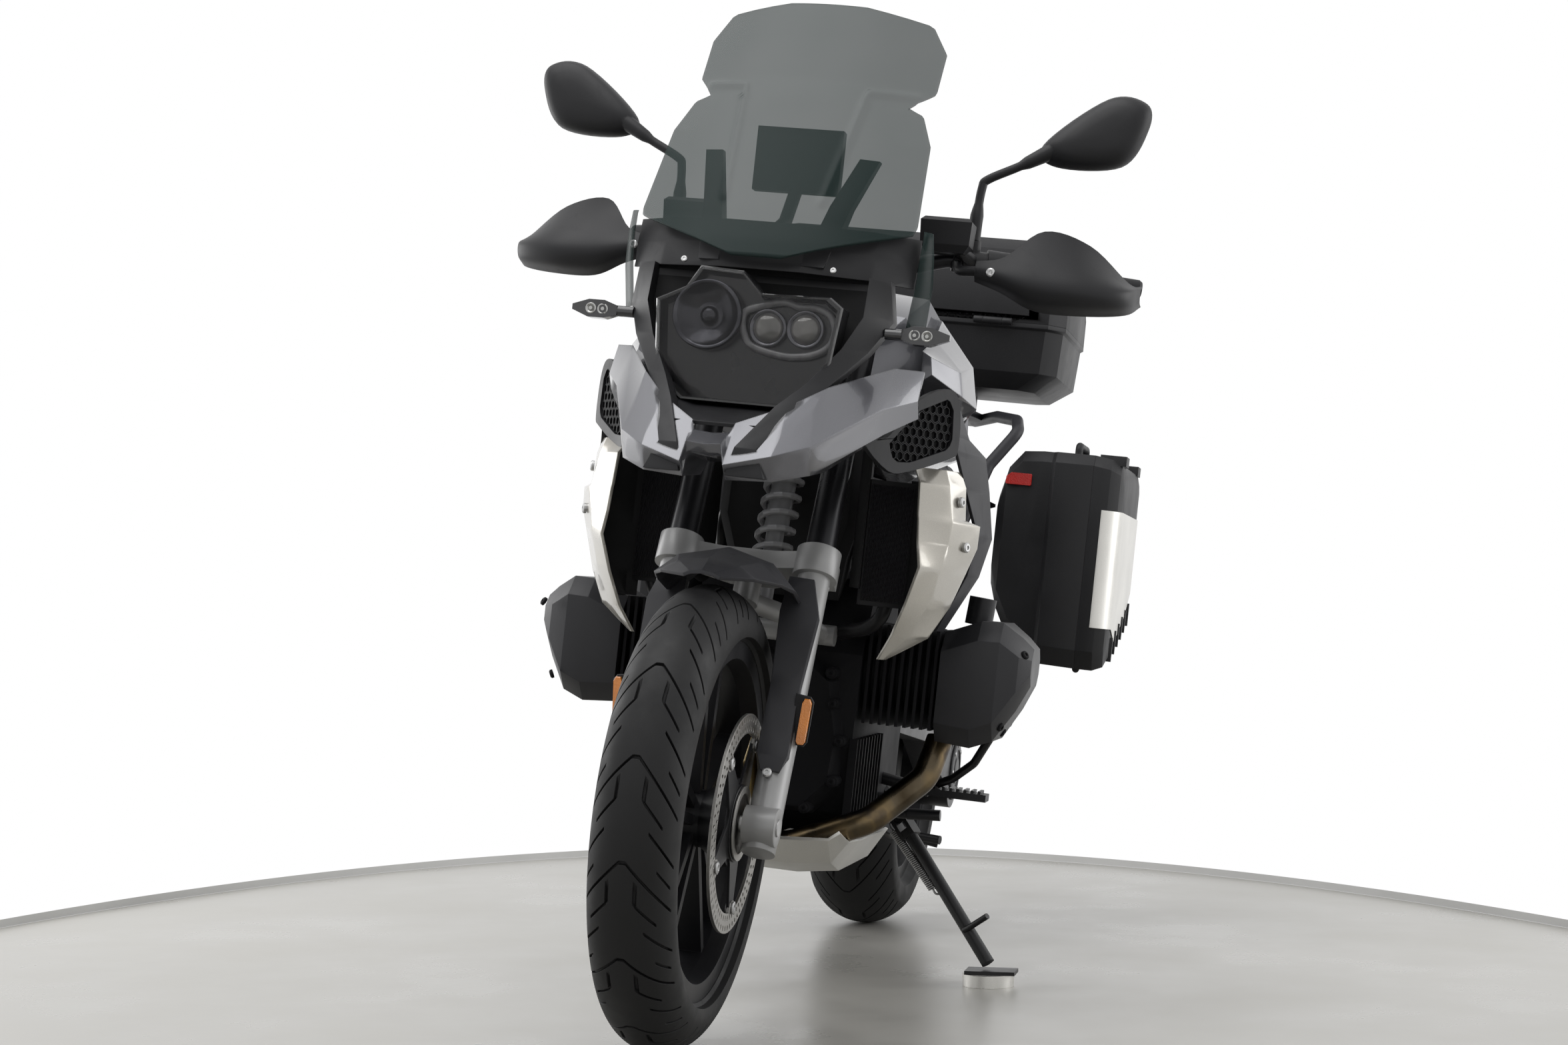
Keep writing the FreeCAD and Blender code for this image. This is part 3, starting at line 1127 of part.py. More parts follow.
# Where the moving bodies turn, upright
PIVOTS = {
    "steering": (FORK_FOOT, UP_FORK),
    "front_wheel_spin": (FRONT_AXLE, Vector(1, 0, 0)),
    "rear_wheel_spin": (REAR_AXLE, Vector(1, 0, 0)),
    "side_stand_fold": (SIDE_PIVOT, stand_axis),
    "centre_stand_fold": (CENTRE_PIVOT, Vector(-1, 0, 0)),
    "top_case_lid_hinge": (LID_HINGE, Vector(1, 0, 0)),
    "pannier_lid_left_hinge": (PANNIER_HINGE, FLOOR_WAY),
    "pannier_lid_right_hinge": (Vector(-PANNIER_HINGE.x, PANNIER_HINGE.y, PANNIER_HINGE.z), -FLOOR_WAY),
    "fuel_cap_hinge": (CAP_PIVOT, Vector(1, 0, 0)),
}

doc.recompute()

# Lean the whole machine and bring the middle of its box to the origin
LEAN = Rotation(Vector(0, 1, 0), float(d.lean_angle))
ORIGIN_X, ORIGIN_Y = 118.1, -3.5
STAND = Placement(Vector(-ORIGIN_X, -ORIGIN_Y, 0), LEAN)
LEANED = []
for item, label in SUB_PARTS:
    leaned = doc.addObject("Part::Compound", label)
    leaned.Label = label
    leaned.Links = [item]
    leaned.Placement = STAND
    LEANED.append(leaned)
doc.recompute()

bad = [item.Label for item in doc.Objects if "Invalid" in item.State or "Error" in item.State]
bad += [item.Label for item in LEANED if item.Shape.isNull() or not item.Shape.isValid()]
if bad:
    raise RuntimeError("failed: " + ", ".join(bad))

os.makedirs("parts", exist_ok=True)
for item in LEANED:
    item.Shape.exportStep(f"parts/{item.Label}.step")

whole = FreeCAD.BoundBox()
for item in LEANED:
    whole.add(item.Shape.optimalBoundingBox(False, False))
print(f"{len(LEANED)} sub-parts, box {whole}, its middle at {whole.Center.x:.1f}, {whole.Center.y:.1f}")
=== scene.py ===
import bmesh
import bpy
import json
import math
from mathutils import Matrix, Vector
from mathutils.bvhtree import BVHTree


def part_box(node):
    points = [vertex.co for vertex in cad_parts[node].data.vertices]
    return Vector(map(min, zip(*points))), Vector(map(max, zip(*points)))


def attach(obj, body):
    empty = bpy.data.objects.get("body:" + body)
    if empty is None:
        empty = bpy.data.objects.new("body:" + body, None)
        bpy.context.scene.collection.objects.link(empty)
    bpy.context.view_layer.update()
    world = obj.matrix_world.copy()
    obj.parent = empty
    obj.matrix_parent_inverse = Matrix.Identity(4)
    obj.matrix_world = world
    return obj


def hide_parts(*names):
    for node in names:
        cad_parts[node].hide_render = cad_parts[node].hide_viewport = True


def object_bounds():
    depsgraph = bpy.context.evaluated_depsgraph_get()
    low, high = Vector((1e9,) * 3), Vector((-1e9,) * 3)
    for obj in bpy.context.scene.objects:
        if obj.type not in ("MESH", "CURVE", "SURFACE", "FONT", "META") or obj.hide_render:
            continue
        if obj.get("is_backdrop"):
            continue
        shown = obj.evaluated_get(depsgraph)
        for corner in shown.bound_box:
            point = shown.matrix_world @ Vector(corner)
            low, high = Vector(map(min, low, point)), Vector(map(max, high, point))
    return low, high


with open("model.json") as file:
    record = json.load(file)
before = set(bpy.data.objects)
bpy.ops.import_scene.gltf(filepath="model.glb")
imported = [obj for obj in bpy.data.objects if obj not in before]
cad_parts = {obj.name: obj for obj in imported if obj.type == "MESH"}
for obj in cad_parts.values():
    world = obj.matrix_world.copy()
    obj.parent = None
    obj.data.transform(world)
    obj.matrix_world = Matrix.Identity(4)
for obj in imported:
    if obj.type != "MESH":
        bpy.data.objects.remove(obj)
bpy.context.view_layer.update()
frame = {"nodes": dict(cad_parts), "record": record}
scene = bpy.context.scene
nodes = frame["nodes"]
record = frame["record"]
slotOf = {s["node"]: s["material_slot"] for s in record["subparts"]}
bodyOf = {node: body for body, members in record["behaviour"]["bodies"].items() for node in members}
sides = ((1, "left"), (-1, "right"))
print("frame loaded:", len(nodes), "nodes")

# the parked machine leans on its side stand: shapes are drawn upright in millimetres and then leaned
stance = {"lean": 6.24, "shift": (-0.1181, 0.0035, 0)}
leaned = Matrix.Rotation(math.radians(stance["lean"]), 4, "Y") @ Matrix.Scale(0.001, 4)
toRow = Matrix.Translation(stance["shift"]) @ leaned
toUpright = toRow.inverted()


class Wire:
    # one socket of a node tree, with sums written as Python does them
    def __init__(self, graph, socket):
        self.graph, self.socket = graph, socket

    def join(self, operation, other):
        return self.graph.node("ShaderNodeMath", {"operation": operation}, {0: self, 1: other})

    def __add__(self, other):
        return self.join("ADD", other)

    def __mul__(self, other):
        return self.join("MULTIPLY", other)


class Graph:
    # a node tree that is built by one method
    def __init__(self, tree):
        self.tree = tree
        tree.nodes.clear()

    def put(self, node, socket, value):
        target = node.inputs[socket]
        if isinstance(value, Wire):
            self.tree.links.new(value.socket, target)
        elif isinstance(value, tuple) and len(value) == 3 and len(target.default_value) == 4:
            target.default_value = (*value, 1)
        else:
            target.default_value = value

    def node(self, kind, settings=None, sockets=None, out=0):
        made = self.tree.nodes.new(kind)
        for key, value in (settings or {}).items():
            setattr(made, key, value)
        for socket, value in (sockets or {}).items():
            self.put(made, socket, value)
        return Wire(self, made.outputs[out] if made.outputs else None)


class Finish(Graph):
    # one material, built from the shader's own sockets
    def __init__(self, name, metallic=0, gloss=0.5, coat=0, coatRough=0.03):
        self.material = bpy.data.materials.new(name)
        self.material.use_nodes = True
        super().__init__(self.material.node_tree)
        self.shader = self.tree.nodes.new("ShaderNodeBsdfPrincipled")
        self.node("ShaderNodeOutputMaterial", sockets={"Surface": Wire(self, self.shader.outputs[0])})
        self.set(**{"Metallic": metallic, "Specular IOR Level": gloss, "Coat Weight": coat, "Coat Roughness": coatRough})

    def set(self, **values):
        for socket, value in values.items():
            self.put(self.shader, socket, value)

    def place(self, scale=(1, 1, 1)):
        spot = self.node("ShaderNodeTexCoord", out="Object")
        return self.node("ShaderNodeMapping", sockets={"Vector": spot, "Scale": scale})

    def grain(self, scale, detail=3, roughness=0.5, stretch=(1, 1, 1)):
        return self.node("ShaderNodeTexNoise", sockets={"Vector": self.place(stretch), "Scale": scale, "Detail": detail,
                                                        "Roughness": roughness})

    def cells(self, scale, distance="EUCLIDEAN", out=0):
        return self.node("ShaderNodeTexVoronoi", {"feature": "F1", "distance": distance},
                         {"Vector": self.place(), "Scale": scale}, out)

    def corner(self, edge):
        return self.node("ShaderNodeBevel", {"samples": 3}, {"Radius": edge})

    def bump(self, height, strength, distance, edge=0.0012):
        self.set(Normal=self.node("ShaderNodeBump", sockets={"Height": height, "Strength": strength, "Distance": distance,
                                                             "Normal": self.corner(edge)}))

    def tint(self, factor, low, high):
        self.set(**{"Base Color": self.node("ShaderNodeMix", {"data_type": "RGBA"}, {0: factor, 6: low, 7: high}, 2)})


def span(wire, low, high, fromLow=0.3, fromHigh=0.7):
    return wire.graph.node("ShaderNodeMapRange", {"clamp": True}, {"Value": wire, "From Min": fromLow, "From Max": fromHigh,
                                                                  "To Min": low, "To Max": high})


def shade(colour, by):
    return tuple(min(1, c * by) for c in colour)


def clouded(name, low, high, rough, cloud=(25, 3), haze=None, **fixed):
    # two tones in soft clouds, and a roughness that drifts with them or with a haze of its own
    f = Finish(name, **fixed)
    broad = f.grain(*cloud)
    f.tint(span(broad, 0, 1), low, high)
    f.set(Roughness=span(f.grain(*haze) if haze else broad, *rough))
    return f


def moulded(name, colour, rough=0.5, grainSize=0.0012, depth=0.00012):
    # injection-moulded plastic: fine leather-like grain, slight bloom and scuffs
    f = Finish(name, gloss=0.3)
    broad, scuff = f.grain(7, 4), f.grain(60, 5, 0.7, (1, 1, 0.2))
    f.tint(span(broad, 0, 1), shade(colour, 0.8775), shade(colour, 1.175))
    f.set(Roughness=span(broad, rough - 0.07, rough + 0.08) + span(scuff, 0, 0.1, 0.55, 0.75))
    f.bump(f.cells(1 / grainSize), 0.35, depth)
    return f.material


def castMetal(name, colour, rough=0.45, metallic=0.0, depth=0.0004, size=0.004, gleam=0.35):
    # sand-cast and powder-coated metal: soft orange peel with darker low spots
    f = clouded(name, shade(colour, 0.86), shade(colour, 1.16), (rough - 0.06, rough + 0.1), (9, 4),
                metallic=metallic, gloss=gleam)
    f.bump(f.grain(1 / size, 3), 0.25, depth)
    return f.material


def glossPaint(name, colour, metallic, flake=0.25):
    # two-layer paint: metallic flakes under a clear coat
    f = Finish(name, metallic, coat=0.8, coatRough=0.05)
    speck = f.node("ShaderNodeSeparateColor", sockets={"Color": f.cells(1400, out="Color")})
    broad = f.grain(4, 3)
    f.tint(span(speck, 0, flake, 0.2, 1) + span(broad, 0, 0.5), shade(colour, 0.9), shade(colour, 1.22))
    f.set(Roughness=span(broad, 0.2, 0.3), Normal=f.corner(0.0025))
    return f.material


def brushed(name, colour, along=(1, 1, 0.03), rough=0.3):
    # rolled or ground metal: fine streaks one way
    f = Finish(name, 1)
    streak, broad = f.grain(900, 3, 0.6, along), f.grain(6, 4)
    f.tint(span(broad, 0, 0.6) + span(streak, 0, 0.4), shade(colour, 0.82), shade(colour, 1.14))
    f.set(Roughness=span(streak, rough - 0.06, rough + 0.12) + span(broad, 0, 0.05))
    f.bump(streak, 0.12, 0.0002)
    return f.material


def rubber(name, colour):
    # tyre rubber: faint dust and small pits
    f = clouded(name, shade(colour, 0.75), shade(colour, 1.5), (0.5, 0.72), (14, 5, 0.65), gloss=0.3)
    f.bump(f.grain(700, 2), 0.3, 0.0003)
    return f.material


def heatTint(name, bands):
    # a header pipe run through its colours, from straw to brown and blue
    f = Finish(name, 1)
    cloud = f.grain(11, 4)
    ramp = f.node("ShaderNodeValToRGB", sockets={"Fac": span(cloud, 0, 1)})
    stops = ramp.socket.node.color_ramp.elements
    while len(stops) < len(bands):
        stops.new(0.5)
    for stop, (place, colour) in zip(stops, bands):
        stop.position, stop.color = place, (*colour, 1)
    f.set(**{"Base Color": ramp, "Roughness": span(cloud, 0.2, 0.36)})
    f.bump(f.grain(300, 3), 0.1, 0.0003)
    return f.material


def clear(name, colour, cover, rough=0.04, gloss=0.5):
    # a smoked sheet that shows what is behind it; cover is how much each face holds back
    f = clouded(name, shade(colour, 0.9), shade(colour, 1.1), (rough, rough + 0.03), (5, 3), gloss=gloss)
    f.set(Alpha=span(f.grain(5, 3), cover - 0.01, cover + 0.01))
    return f.material


def lampLens(name, colour):
    # ribbed lamp plastic under a clear coat
    ribs = (90, 2, 0.5, (1, 1, 4))
    f = clouded(name, shade(colour, 0.8), shade(colour, 1.3), (0.12, 0.22), ribs, coat=0.6, coatRough=0.04)
    f.bump(f.grain(*ribs), 0.3, 0.0006)
    return f.material


def reflector(name, colour):
    # moulded prisms under a clear coat
    f = clouded(name, shade(colour, 0.85), shade(colour, 1.2), (0.12, 0.24), coat=0.7, coatRough=0.05)
    f.bump(f.cells(420, "CHEBYCHEV"), 0.5, 0.0008, 0.0006)
    return f.material


finishes = {
    "tyre": rubber("tyreRubber", (0.0078, 0.0078, 0.0083)),
    "black_cast": castMetal("blackCasting", (0.008, 0.008, 0.0095), 0.36),
    "disc_steel": brushed("discSteel", (0.44, 0.43, 0.41), (0.4, 1, 1), 0.34),
    "black_anodised": castMetal("blackAnodised", (0.012, 0.012, 0.014), 0.32, 0.4, 0.0001, 0.002),
    "grey_cast": castMetal("greyCasting", (0.34, 0.34, 0.34), 0.38, 0.25),
    "steel": brushed("satinSteel", (0.48, 0.48, 0.48)),
    "black_plastic": moulded("blackPlastic", (0.011, 0.011, 0.0125), 0.46),
    "dark_grey_plastic": moulded("darkGreyPlastic", (0.026, 0.026, 0.03), 0.46),
    "gold_cast": castMetal("goldCasting", (0.3, 0.22, 0.09), 0.36, 0.5),
    "engine_black": castMetal("engineBlack", (0.009, 0.009, 0.0102), 0.62, 0, 0.0006, 0.003, 0.12),
    "cover_grey": castMetal("coverGrey", (0.02, 0.02, 0.0225), 0.42, 0.1),
    "black_tube": castMetal("blackTube", (0.01, 0.01, 0.011), 0.36),
    "grey_paint": glossPaint("greyPaint", (0.118, 0.119, 0.132), 0.55),
    "silver_paint": glossPaint("silverPaint", (0.43, 0.41, 0.365), 0.5, 0.35),
    "seat_vinyl": moulded("seatVinyl", (0.013, 0.013, 0.014), 0.5, 0.0022, 0.0003),
    "radiator_black": castMetal("radiatorBlack", (0.006, 0.006, 0.007), 0.6, 0.2),
    "tinted_screen": clear("tintedScreen", (0.015, 0.029, 0.027), 0.62, 0.36, 0.12),
    "lamp_glass": lampLens("lampGlass", (0.015, 0.015, 0.017)),
    "strut_grey": castMetal("strutGrey", (0.3, 0.3, 0.31), 0.4, 0.2),
    "header_steel": heatTint("headerSteel", [(0, (0.04, 0.03, 0.018)), (0.45, (0.09, 0.072, 0.048)), (0.75, (0.15, 0.11, 0.06)),
                                             (1, (0.03, 0.028, 0.032))]),
    "aluminium": brushed("satinAluminium", (0.66, 0.65, 0.62), (1, 0.04, 1), 0.36),
    "case_black": moulded("caseBlack", (0.015, 0.015, 0.0165), 0.5, 0.0016, 0.00018),
}
for name, part in nodes.items():
    part.data.materials.clear()
    part.data.materials.append(finishes[slotOf[name]])
print("finishes made:", len(finishes))


def inScene(name, data):
    made = bpy.data.objects.new(name, data)
    scene.collection.objects.link(made)
    return made


def addObject(name, mesh, body, slotName, material=None, replacing=()):
    made = inScene(name, mesh)
    mesh.materials.append(material or finishes[slotName])
    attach(made, body)
    if replacing:
        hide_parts(*replacing)


def meshFrom(name, points, faces, smooth=True):
    mesh = bpy.data.meshes.new(name)
    mesh.from_pydata([tuple(p) for p in points], [], faces)
    work = bmesh.new()
    work.from_mesh(mesh)
    bmesh.ops.remove_doubles(work, verts=work.verts, dist=0.01)
    bmesh.ops.recalc_face_normals(work, faces=work.faces)
    work.to_mesh(mesh)
    work.free()
    mesh.polygons.foreach_set("use_smooth", [smooth] * len(mesh.polygons))
    mesh.transform(toRow)
    return mesh


def add(name, part, body, slotName, material=None, replacing=(), crease=32, smooth=True):
    # a piece from upright points and faces; edges past the crease angle stay sharp
    mesh = meshFrom(name, *part, smooth)
    if crease:
        mesh.set_sharp_from_angle(angle=math.radians(crease))
    addObject(name, mesh, body, slotName, material, replacing)


def evaluated(made):
    return bpy.data.meshes.new_from_object(made.evaluated_get(bpy.context.evaluated_depsgraph_get()))


def turns(count, first=0):
    # even angles round a full turn
    return [first + 2 * math.pi * k / count for k in range(count)]


def gather(*parts):
    # several skins as one
    points, faces = [], []
    for morePoints, moreFaces in parts:
        faces += [tuple(len(points) + v for v in face) for face in moreFaces]
        points += morePoints
    return points, faces


def pair(*parts):
    # the same skins on both sides of the machine's middle
    others = [([Vector((-p.x, p.y, p.z)) for p in points], [tuple(reversed(face)) for face in faces])
              for points, faces in parts]
    return gather(*parts, *others)


def bridge(rings, closedRound=True, caps=(False, False), closedLong=False):
    # points and quads of a skin through rings of equal count
    count = len(rings[0])
    points = [p for ring in rings for p in ring]
    faces = []
    for i in range(len(rings) if closedLong else len(rings) - 1):
        a, b = i * count, (i + 1) % len(rings) * count
        for j in range(count if closedRound else count - 1):
            k = (j + 1) % count
            faces.append((a + j, a + k, b + k, b + j))
    if caps[0]:
        faces.append(tuple(range(count)))
    if caps[1]:
        faces.append(tuple(reversed(range(len(points) - count, len(points)))))
    return points, faces


def capped(rings):
    return bridge(rings, caps=(True, True))


def thickSheet(grid, thickness):
    # a closed thin shell on a grid of points, thickened along its own normals
    rows, columns = len(grid), len(grid[0])
    back = []
    for i in range(rows):
        for j in range(columns):
            along = grid[min(i + 1, rows - 1)][j] - grid[max(i - 1, 0)][j]
            over = grid[i][min(j + 1, columns - 1)] - grid[i][max(j - 1, 0)]
            back.append(grid[i][j] + along.cross(over).normalized() * thickness)
    points = [p for row in grid for p in row] + back
    skip = rows * columns
    faces = []
    for i in range(rows - 1):
        for j in range(columns - 1):
            a = i * columns + j
            faces.append((a, a + 1, a + columns + 1, a + columns))
            faces.append((skip + a, skip + a + columns, skip + a + columns + 1, skip + a + 1))
    edge = list(range(columns)) + [i * columns + columns - 1 for i in range(1, rows)]
    edge += [(rows - 1) * columns + j for j in range(columns - 2, -1, -1)] + [i * columns for i in range(rows - 2, 0, -1)]
    for a, b in zip(edge, edge[1:] + edge[:1]):
        faces.append((a, skip + a, skip + b, b))
    return points, faces


def smoothLine(points, steps=6, closed=False):
    # an even curve through points
    points = [Vector(p) for p in points]
    count = len(points)
    line = []
    for i in range(count if closed else count - 1):
        p1, p2 = points[i], points[(i + 1) % count]
        p0 = points[i - 1] if i or closed else p1 * 2 - p2
        p3 = points[(i + 2) % count] if i < count - 2 or closed else p2 * 2 - p1
        for t in (k / steps for k in range(steps)):
            line.append(0.5 * (2 * p1 + (p2 - p0) * t + (2 * p0 - 5 * p1 + 4 * p2 - p3) * t * t
                               + (3 * p1 - p0 - 3 * p2 + p3) * t ** 3))
    return line if closed else line + [points[-1]]


def skinGrid(sections, around, along):
    # an even grid of points through sections of equal count
    rows = [smoothLine(points, around) for points in sections]
    columns = [smoothLine([row[j] for row in rows], along) for j in range(len(rows[0]))]
    return [[column[i] for column in columns] for i in range(len(columns[0]))]


def tube(path, radius, around=12, closed=False):
    # a skin round a smooth line of points, with one radius or one for each point
    count = len(path)
    rings = []
    normal = None
    for i, p in enumerate(path):
        before = path[i - 1] if i or closed else p
        after = path[(i + 1) % count] if i < count - 1 or closed else p
        along = (after - before).normalized()
        normal = along.orthogonal().normalized() if normal is None else (normal - along * normal.dot(along)).normalized()
        other = along.cross(normal)
        size = radius[i] if isinstance(radius, list) else radius
        rings.append([p + (normal * math.cos(a) + other * math.sin(a)) * size for a in turns(around)])
    return bridge(rings, caps=(not closed, not closed), closedLong=closed)


def spun(profile, middle, axis, around=48):
    # a turned form: (distance out, distance along) pairs round an axis
    axis = Vector(axis).normalized()
    first = axis.orthogonal().normalized()
    second = axis.cross(first)
    rings = []
    for out, along in profile:
        level, out = Vector(middle) + axis * along, max(out, 0.001)
        rings.append([level + (first * math.cos(a) + second * math.sin(a)) * out for a in turns(around)])
    return bridge(rings, caps=(profile[0][0] > 0.01, profile[-1][0] > 0.01))


def extruded(outline, low, high, place):
    # a flat plate from an outline of (a, b) pairs, set by a function of (a, b, depth)
    return capped([[place(a, b, depth) for a, b in outline] for depth in (low, high)])


def slab(outline, low, high, place, inset=1.2):
    # a plate with softened edges; the outline is walked twice, drawn in at the faces
    midA, midB = (sum(values) / len(outline) for values in zip(*outline))
    share = 1 - inset / max(math.hypot(a - midA, b - midB) for a, b in outline)
    drawn = [(midA + (a - midA) * share, midB + (b - midB) * share) for a, b in outline]
    walks = ((drawn, low), (outline, low + inset), (outline, high - inset), (drawn, high))
    return capped([[place(a, b, depth) for a, b in line] for line, depth in walks])


def facing(y, slope=0, level=0, way=1):
    # a plate's place across the machine: y, how it leans past a height, and which way its depth goes
    return lambda a, b, depth: Vector((a, y + slope * (b - level) + way * depth, b))


def chopped(left, low, right, high, cut):
    # a rectangle with its corners cut off
    return [(left, low + cut), (left + cut, low), (right - cut, low), (right, low + cut),
            (right, high - cut), (right - cut, high), (left + cut, high), (left, high - cut)]


def choppedBox(stations, cut):
    # an upright box through such rectangles: height, half width, front and back
    return capped([[Vector((x, y, z)) for x, y in chopped(-wide, front, wide, back, cut)] for z, wide, front, back in stations])


def between(stations, at):
    # the values at a height, straight between listed stations
    for a, b in zip(stations, stations[1:]):
        if at <= b[0]:
            k = max(0, min(1, (at - a[0]) / (b[0] - a[0])))
            return [a[i] + (b[i] - a[i]) * k for i in range(1, len(a))]
    return list(stations[-1][1:])


def levels(stations, count):
    # even heights from the first station to the last, with their values
    low, high = stations[0][0], stations[-1][0]
    for i in range(count + 1):
        at = low + (high - low) * i / count
        yield at, between(stations, at)


def bulgedRing(half, low, high, count, powers):
    # pairs round an oval that is drawn out towards a rectangle
    for a in turns(count):
        c, s = (math.copysign(abs(v) ** power, v) for v, power in zip((math.cos(a), math.sin(a)), powers))
        yield half * c, 0.5 * (low + high) + 0.5 * (high - low) * s


# tyres, their tread pressed in: rows follow the sweep of the long grooves, so that groove walls stay crisp
tyres = {
    "front": {"node": "front_tyre", "radius": 325, "width": 120, "rimRadius": 252, "rimHalf": 44, "y": -762.5, "pitches": 15,
              "spin": -1, "sweep": 0.62},
    "rear": {"node": "rear_tyre", "radius": 318, "width": 170, "rimRadius": 228, "rimHalf": 62, "y": 762.5, "pitches": 13,
             "spin": 1, "sweep": 0.8},
    "shoulder": 46, "reach": 0.985, "grooveDepth": 5, "grooveWidth": 5.5, "wall": 0.9,
    "across": 46, "rows": 14, "rowGap": 0.018,
    # grooves along the sweep: place in the pitch, from which side distance to which, how deep
    "swept": [(0.0, 0.0, 0.94, 1), (0.5, 0.4, 0.96, 1), (0.3, 0.24, 0.62, 0.9), (0.76, 0.6, 0.9, 0.7)],
    # a groove round the tyre that meets the third one: side distance, from, to, how deep
    "running": (0.24, 0.08, 0.3, 0.9),
    # side distance from which the grooves are swept back
    "straight": 0.06,
}


def apart(a, b):
    # how far two places in a pitch are from each other, the short way round
    return abs((a - b + 0.5) % 1 - 0.5)


def tyreRows(pitchLength):
    # where rows of points lie within a pitch, two on each groove wall
    half, wall = tyres["grooveWidth"] / 2 / pitchLength, tyres["wall"] / pitchLength
    edges = [(c + side * h) % 1 for c, *_ in tyres["swept"] for side in (-1, 1) for h in (half, half - wall)]
    even = [k / tyres["rows"] for k in range(tyres["rows"])]
    return sorted(edges + [row for row in even if all(apart(row, e) > tyres["rowGap"] for e in edges)])


def pressed(u, far, pitchLength, halfArc):
    # how deep the tread is at a place in the pitch and a distance from the middle
    half, slack = tyres["grooveWidth"] / 2 / pitchLength, tyres["wall"] / 2 / pitchLength
    depth = 0
    for centre, inner, outer, deep in tyres["swept"]:
        if inner <= far <= outer and apart(u, centre) < half - slack:
            depth = max(depth, deep)
    side, start, end, deep = tyres["running"]
    if abs(far - side) < tyres["grooveWidth"] / 2 / halfArc and start <= u <= end:
        depth = max(depth, deep)
    return depth


def tyreSkin(t):
    half, base, rim = t["width"] / 2 - 2, t["radius"] - tyres["shoulder"], t["rimRadius"]
    crown = (half ** 2 + tyres["shoulder"] ** 2) / (2 * tyres["shoulder"])
    reach = math.asin(min(1, half / crown)) * tyres["reach"]
    halfArc = crown * reach
    pitchLength = 2 * math.pi * t["radius"] / t["pitches"]
    middle = Vector((0, t["y"], t["radius"] + crown * (1 / math.cos(math.radians(stance["lean"])) - 1)))
    runHalf, runWall = tyres["grooveWidth"] / 2 / halfArc, tyres["wall"] / halfArc
    columns = sorted([k / tyres["across"] for k in range(tyres["across"] + 1)]
                     + [tyres["running"][0] + side * h for side in (-1, 1) for h in (runHalf + 0.001, runHalf - runWall)])
    columns = [-c for c in reversed(columns) if c > 0] + columns
    # the side wall, from the shoulder down to the rim
    wall = [(half + 1, base - 4), (half + 1.5, 0.5 * (base + rim)), (half, 0.2 * base + 0.8 * rim),
            (t["rimHalf"] + 5, rim + 4), (t["rimHalf"] + 1, rim - 1)]

    def outward(place, far):
        # the way out at a place round the tyre, held back by the grooves' sweep
        angle = t["spin"] * 2 * math.pi * (place + t["sweep"] * max(0, far - tyres["straight"])) / t["pitches"]
        return Vector((0, math.sin(angle), math.cos(angle)))

    rings = []
    for pitch in range(t["pitches"]):
        for row in tyreRows(pitchLength):
            ring = []
            for side in columns:
                level = crown - tyres["grooveDepth"] * pressed(row, abs(side), pitchLength, halfArc)
                up, aside = (level * turn(side * reach) for turn in (math.cos, math.sin))
                ring.append(middle + outward(pitch + row, abs(side)) * (t["radius"] - crown + up) + Vector((aside, 0, 0)))
            out = outward(pitch + row, 1)
            ring += [middle + out * r + Vector((x, 0, 0)) for x, r in wall]
            ring += [middle + out * r - Vector((x, 0, 0)) for x, r in reversed(wall)]
            rings.append(ring)
    return bridge(rings, closedLong=True)


for key in ("front", "rear"):
    node = tyres[key]["node"]
    add(key + "TyreTread", tyreSkin(tyres[key]), bodyOf[node], "tyre", replacing=[node], crease=35)
print("tyres made")

# windscreen: height, half width, y in the middle, how far its sides sweep back at 200 mm
windscreen = {
    "stations": [(1118, 36, -724, 66), (1143, 104, -708, 66), (1178, 203, -682, 68), (1190, 206, -674, 68),
                 (1323, 197, -576, 64), (1374, 176, -541, 74), (1384, 153, -534, 78), (1400, 166, -522, 82),
                 (1418, 184, -508, 86), (1488, 185, -462, 88), (1533, 158, -434, 92), (1548, 60, -424, 90)],
    "sweepAt": 200, "rib": [(158, 1404), (94, 1400), (72, 1208)], "ribHeight": 5, "ribHalf": 8, "thickness": 4,
    "across": 84, "up": 92, "ribRise": 0.6,
    # a deflector beside it on each side: height, and x and y of its inner and outer edge
    "deflector": [(1044, 204, -604, 224, -566), (1110, 212, -604, 230, -574), (1153, 214, -604, 228, -580),
                  (1186, 216, -592, 224, -582)],
    "deflectorBow": 5, "deflectorThickness": 3, "deflectorAcross": 6, "deflectorUp": 14,
}


def nearLine(x, z, line):
    # distance in millimetres from a point to a broken line
    best = 1e9
    for (ax, az), (bx, bz) in zip(line, line[1:]):
        k = max(0, min(1, ((x - ax) * (bx - ax) + (z - az) * (bz - az)) / ((bx - ax) ** 2 + (bz - az) ** 2)))
        best = min(best, math.hypot(x - ax - k * (bx - ax), z - az - k * (bz - az)))
    return best


w = windscreen
grid = []
for z, (half, middleY, sweep) in levels(w["stations"], w["up"]):
    row = []
    for j in range(w["across"] + 1):
        x = half * (2 * j / w["across"] - 1)
        away = nearLine(abs(x), z, w["rib"]) / w["ribHalf"]
        lift = w["ribHeight"] * max(0, 1 - away * away) ** 2
        row.append(Vector((x, middleY + sweep * (x / w["sweepAt"]) ** 2 - lift, z + w["ribRise"] * lift)))
    grid.append(row)
screenParts = [thickSheet(grid, w["thickness"])]
for side in (-1, 1):
    strip = []
    for z, (x0, y0, x1, y1) in levels(w["deflector"], w["deflectorUp"]):
        strip.append([])
        for share in (k / w["deflectorAcross"] for k in range(w["deflectorAcross"] + 1)):
            bow = w["deflectorBow"] * math.sin(math.pi * share)
            strip[-1].append(Vector((side * (x0 + (x1 - x0) * share), y0 + (y1 - y0) * share - bow, z)))
    screenParts.append(thickSheet(strip, -w["deflectorThickness"] * side))
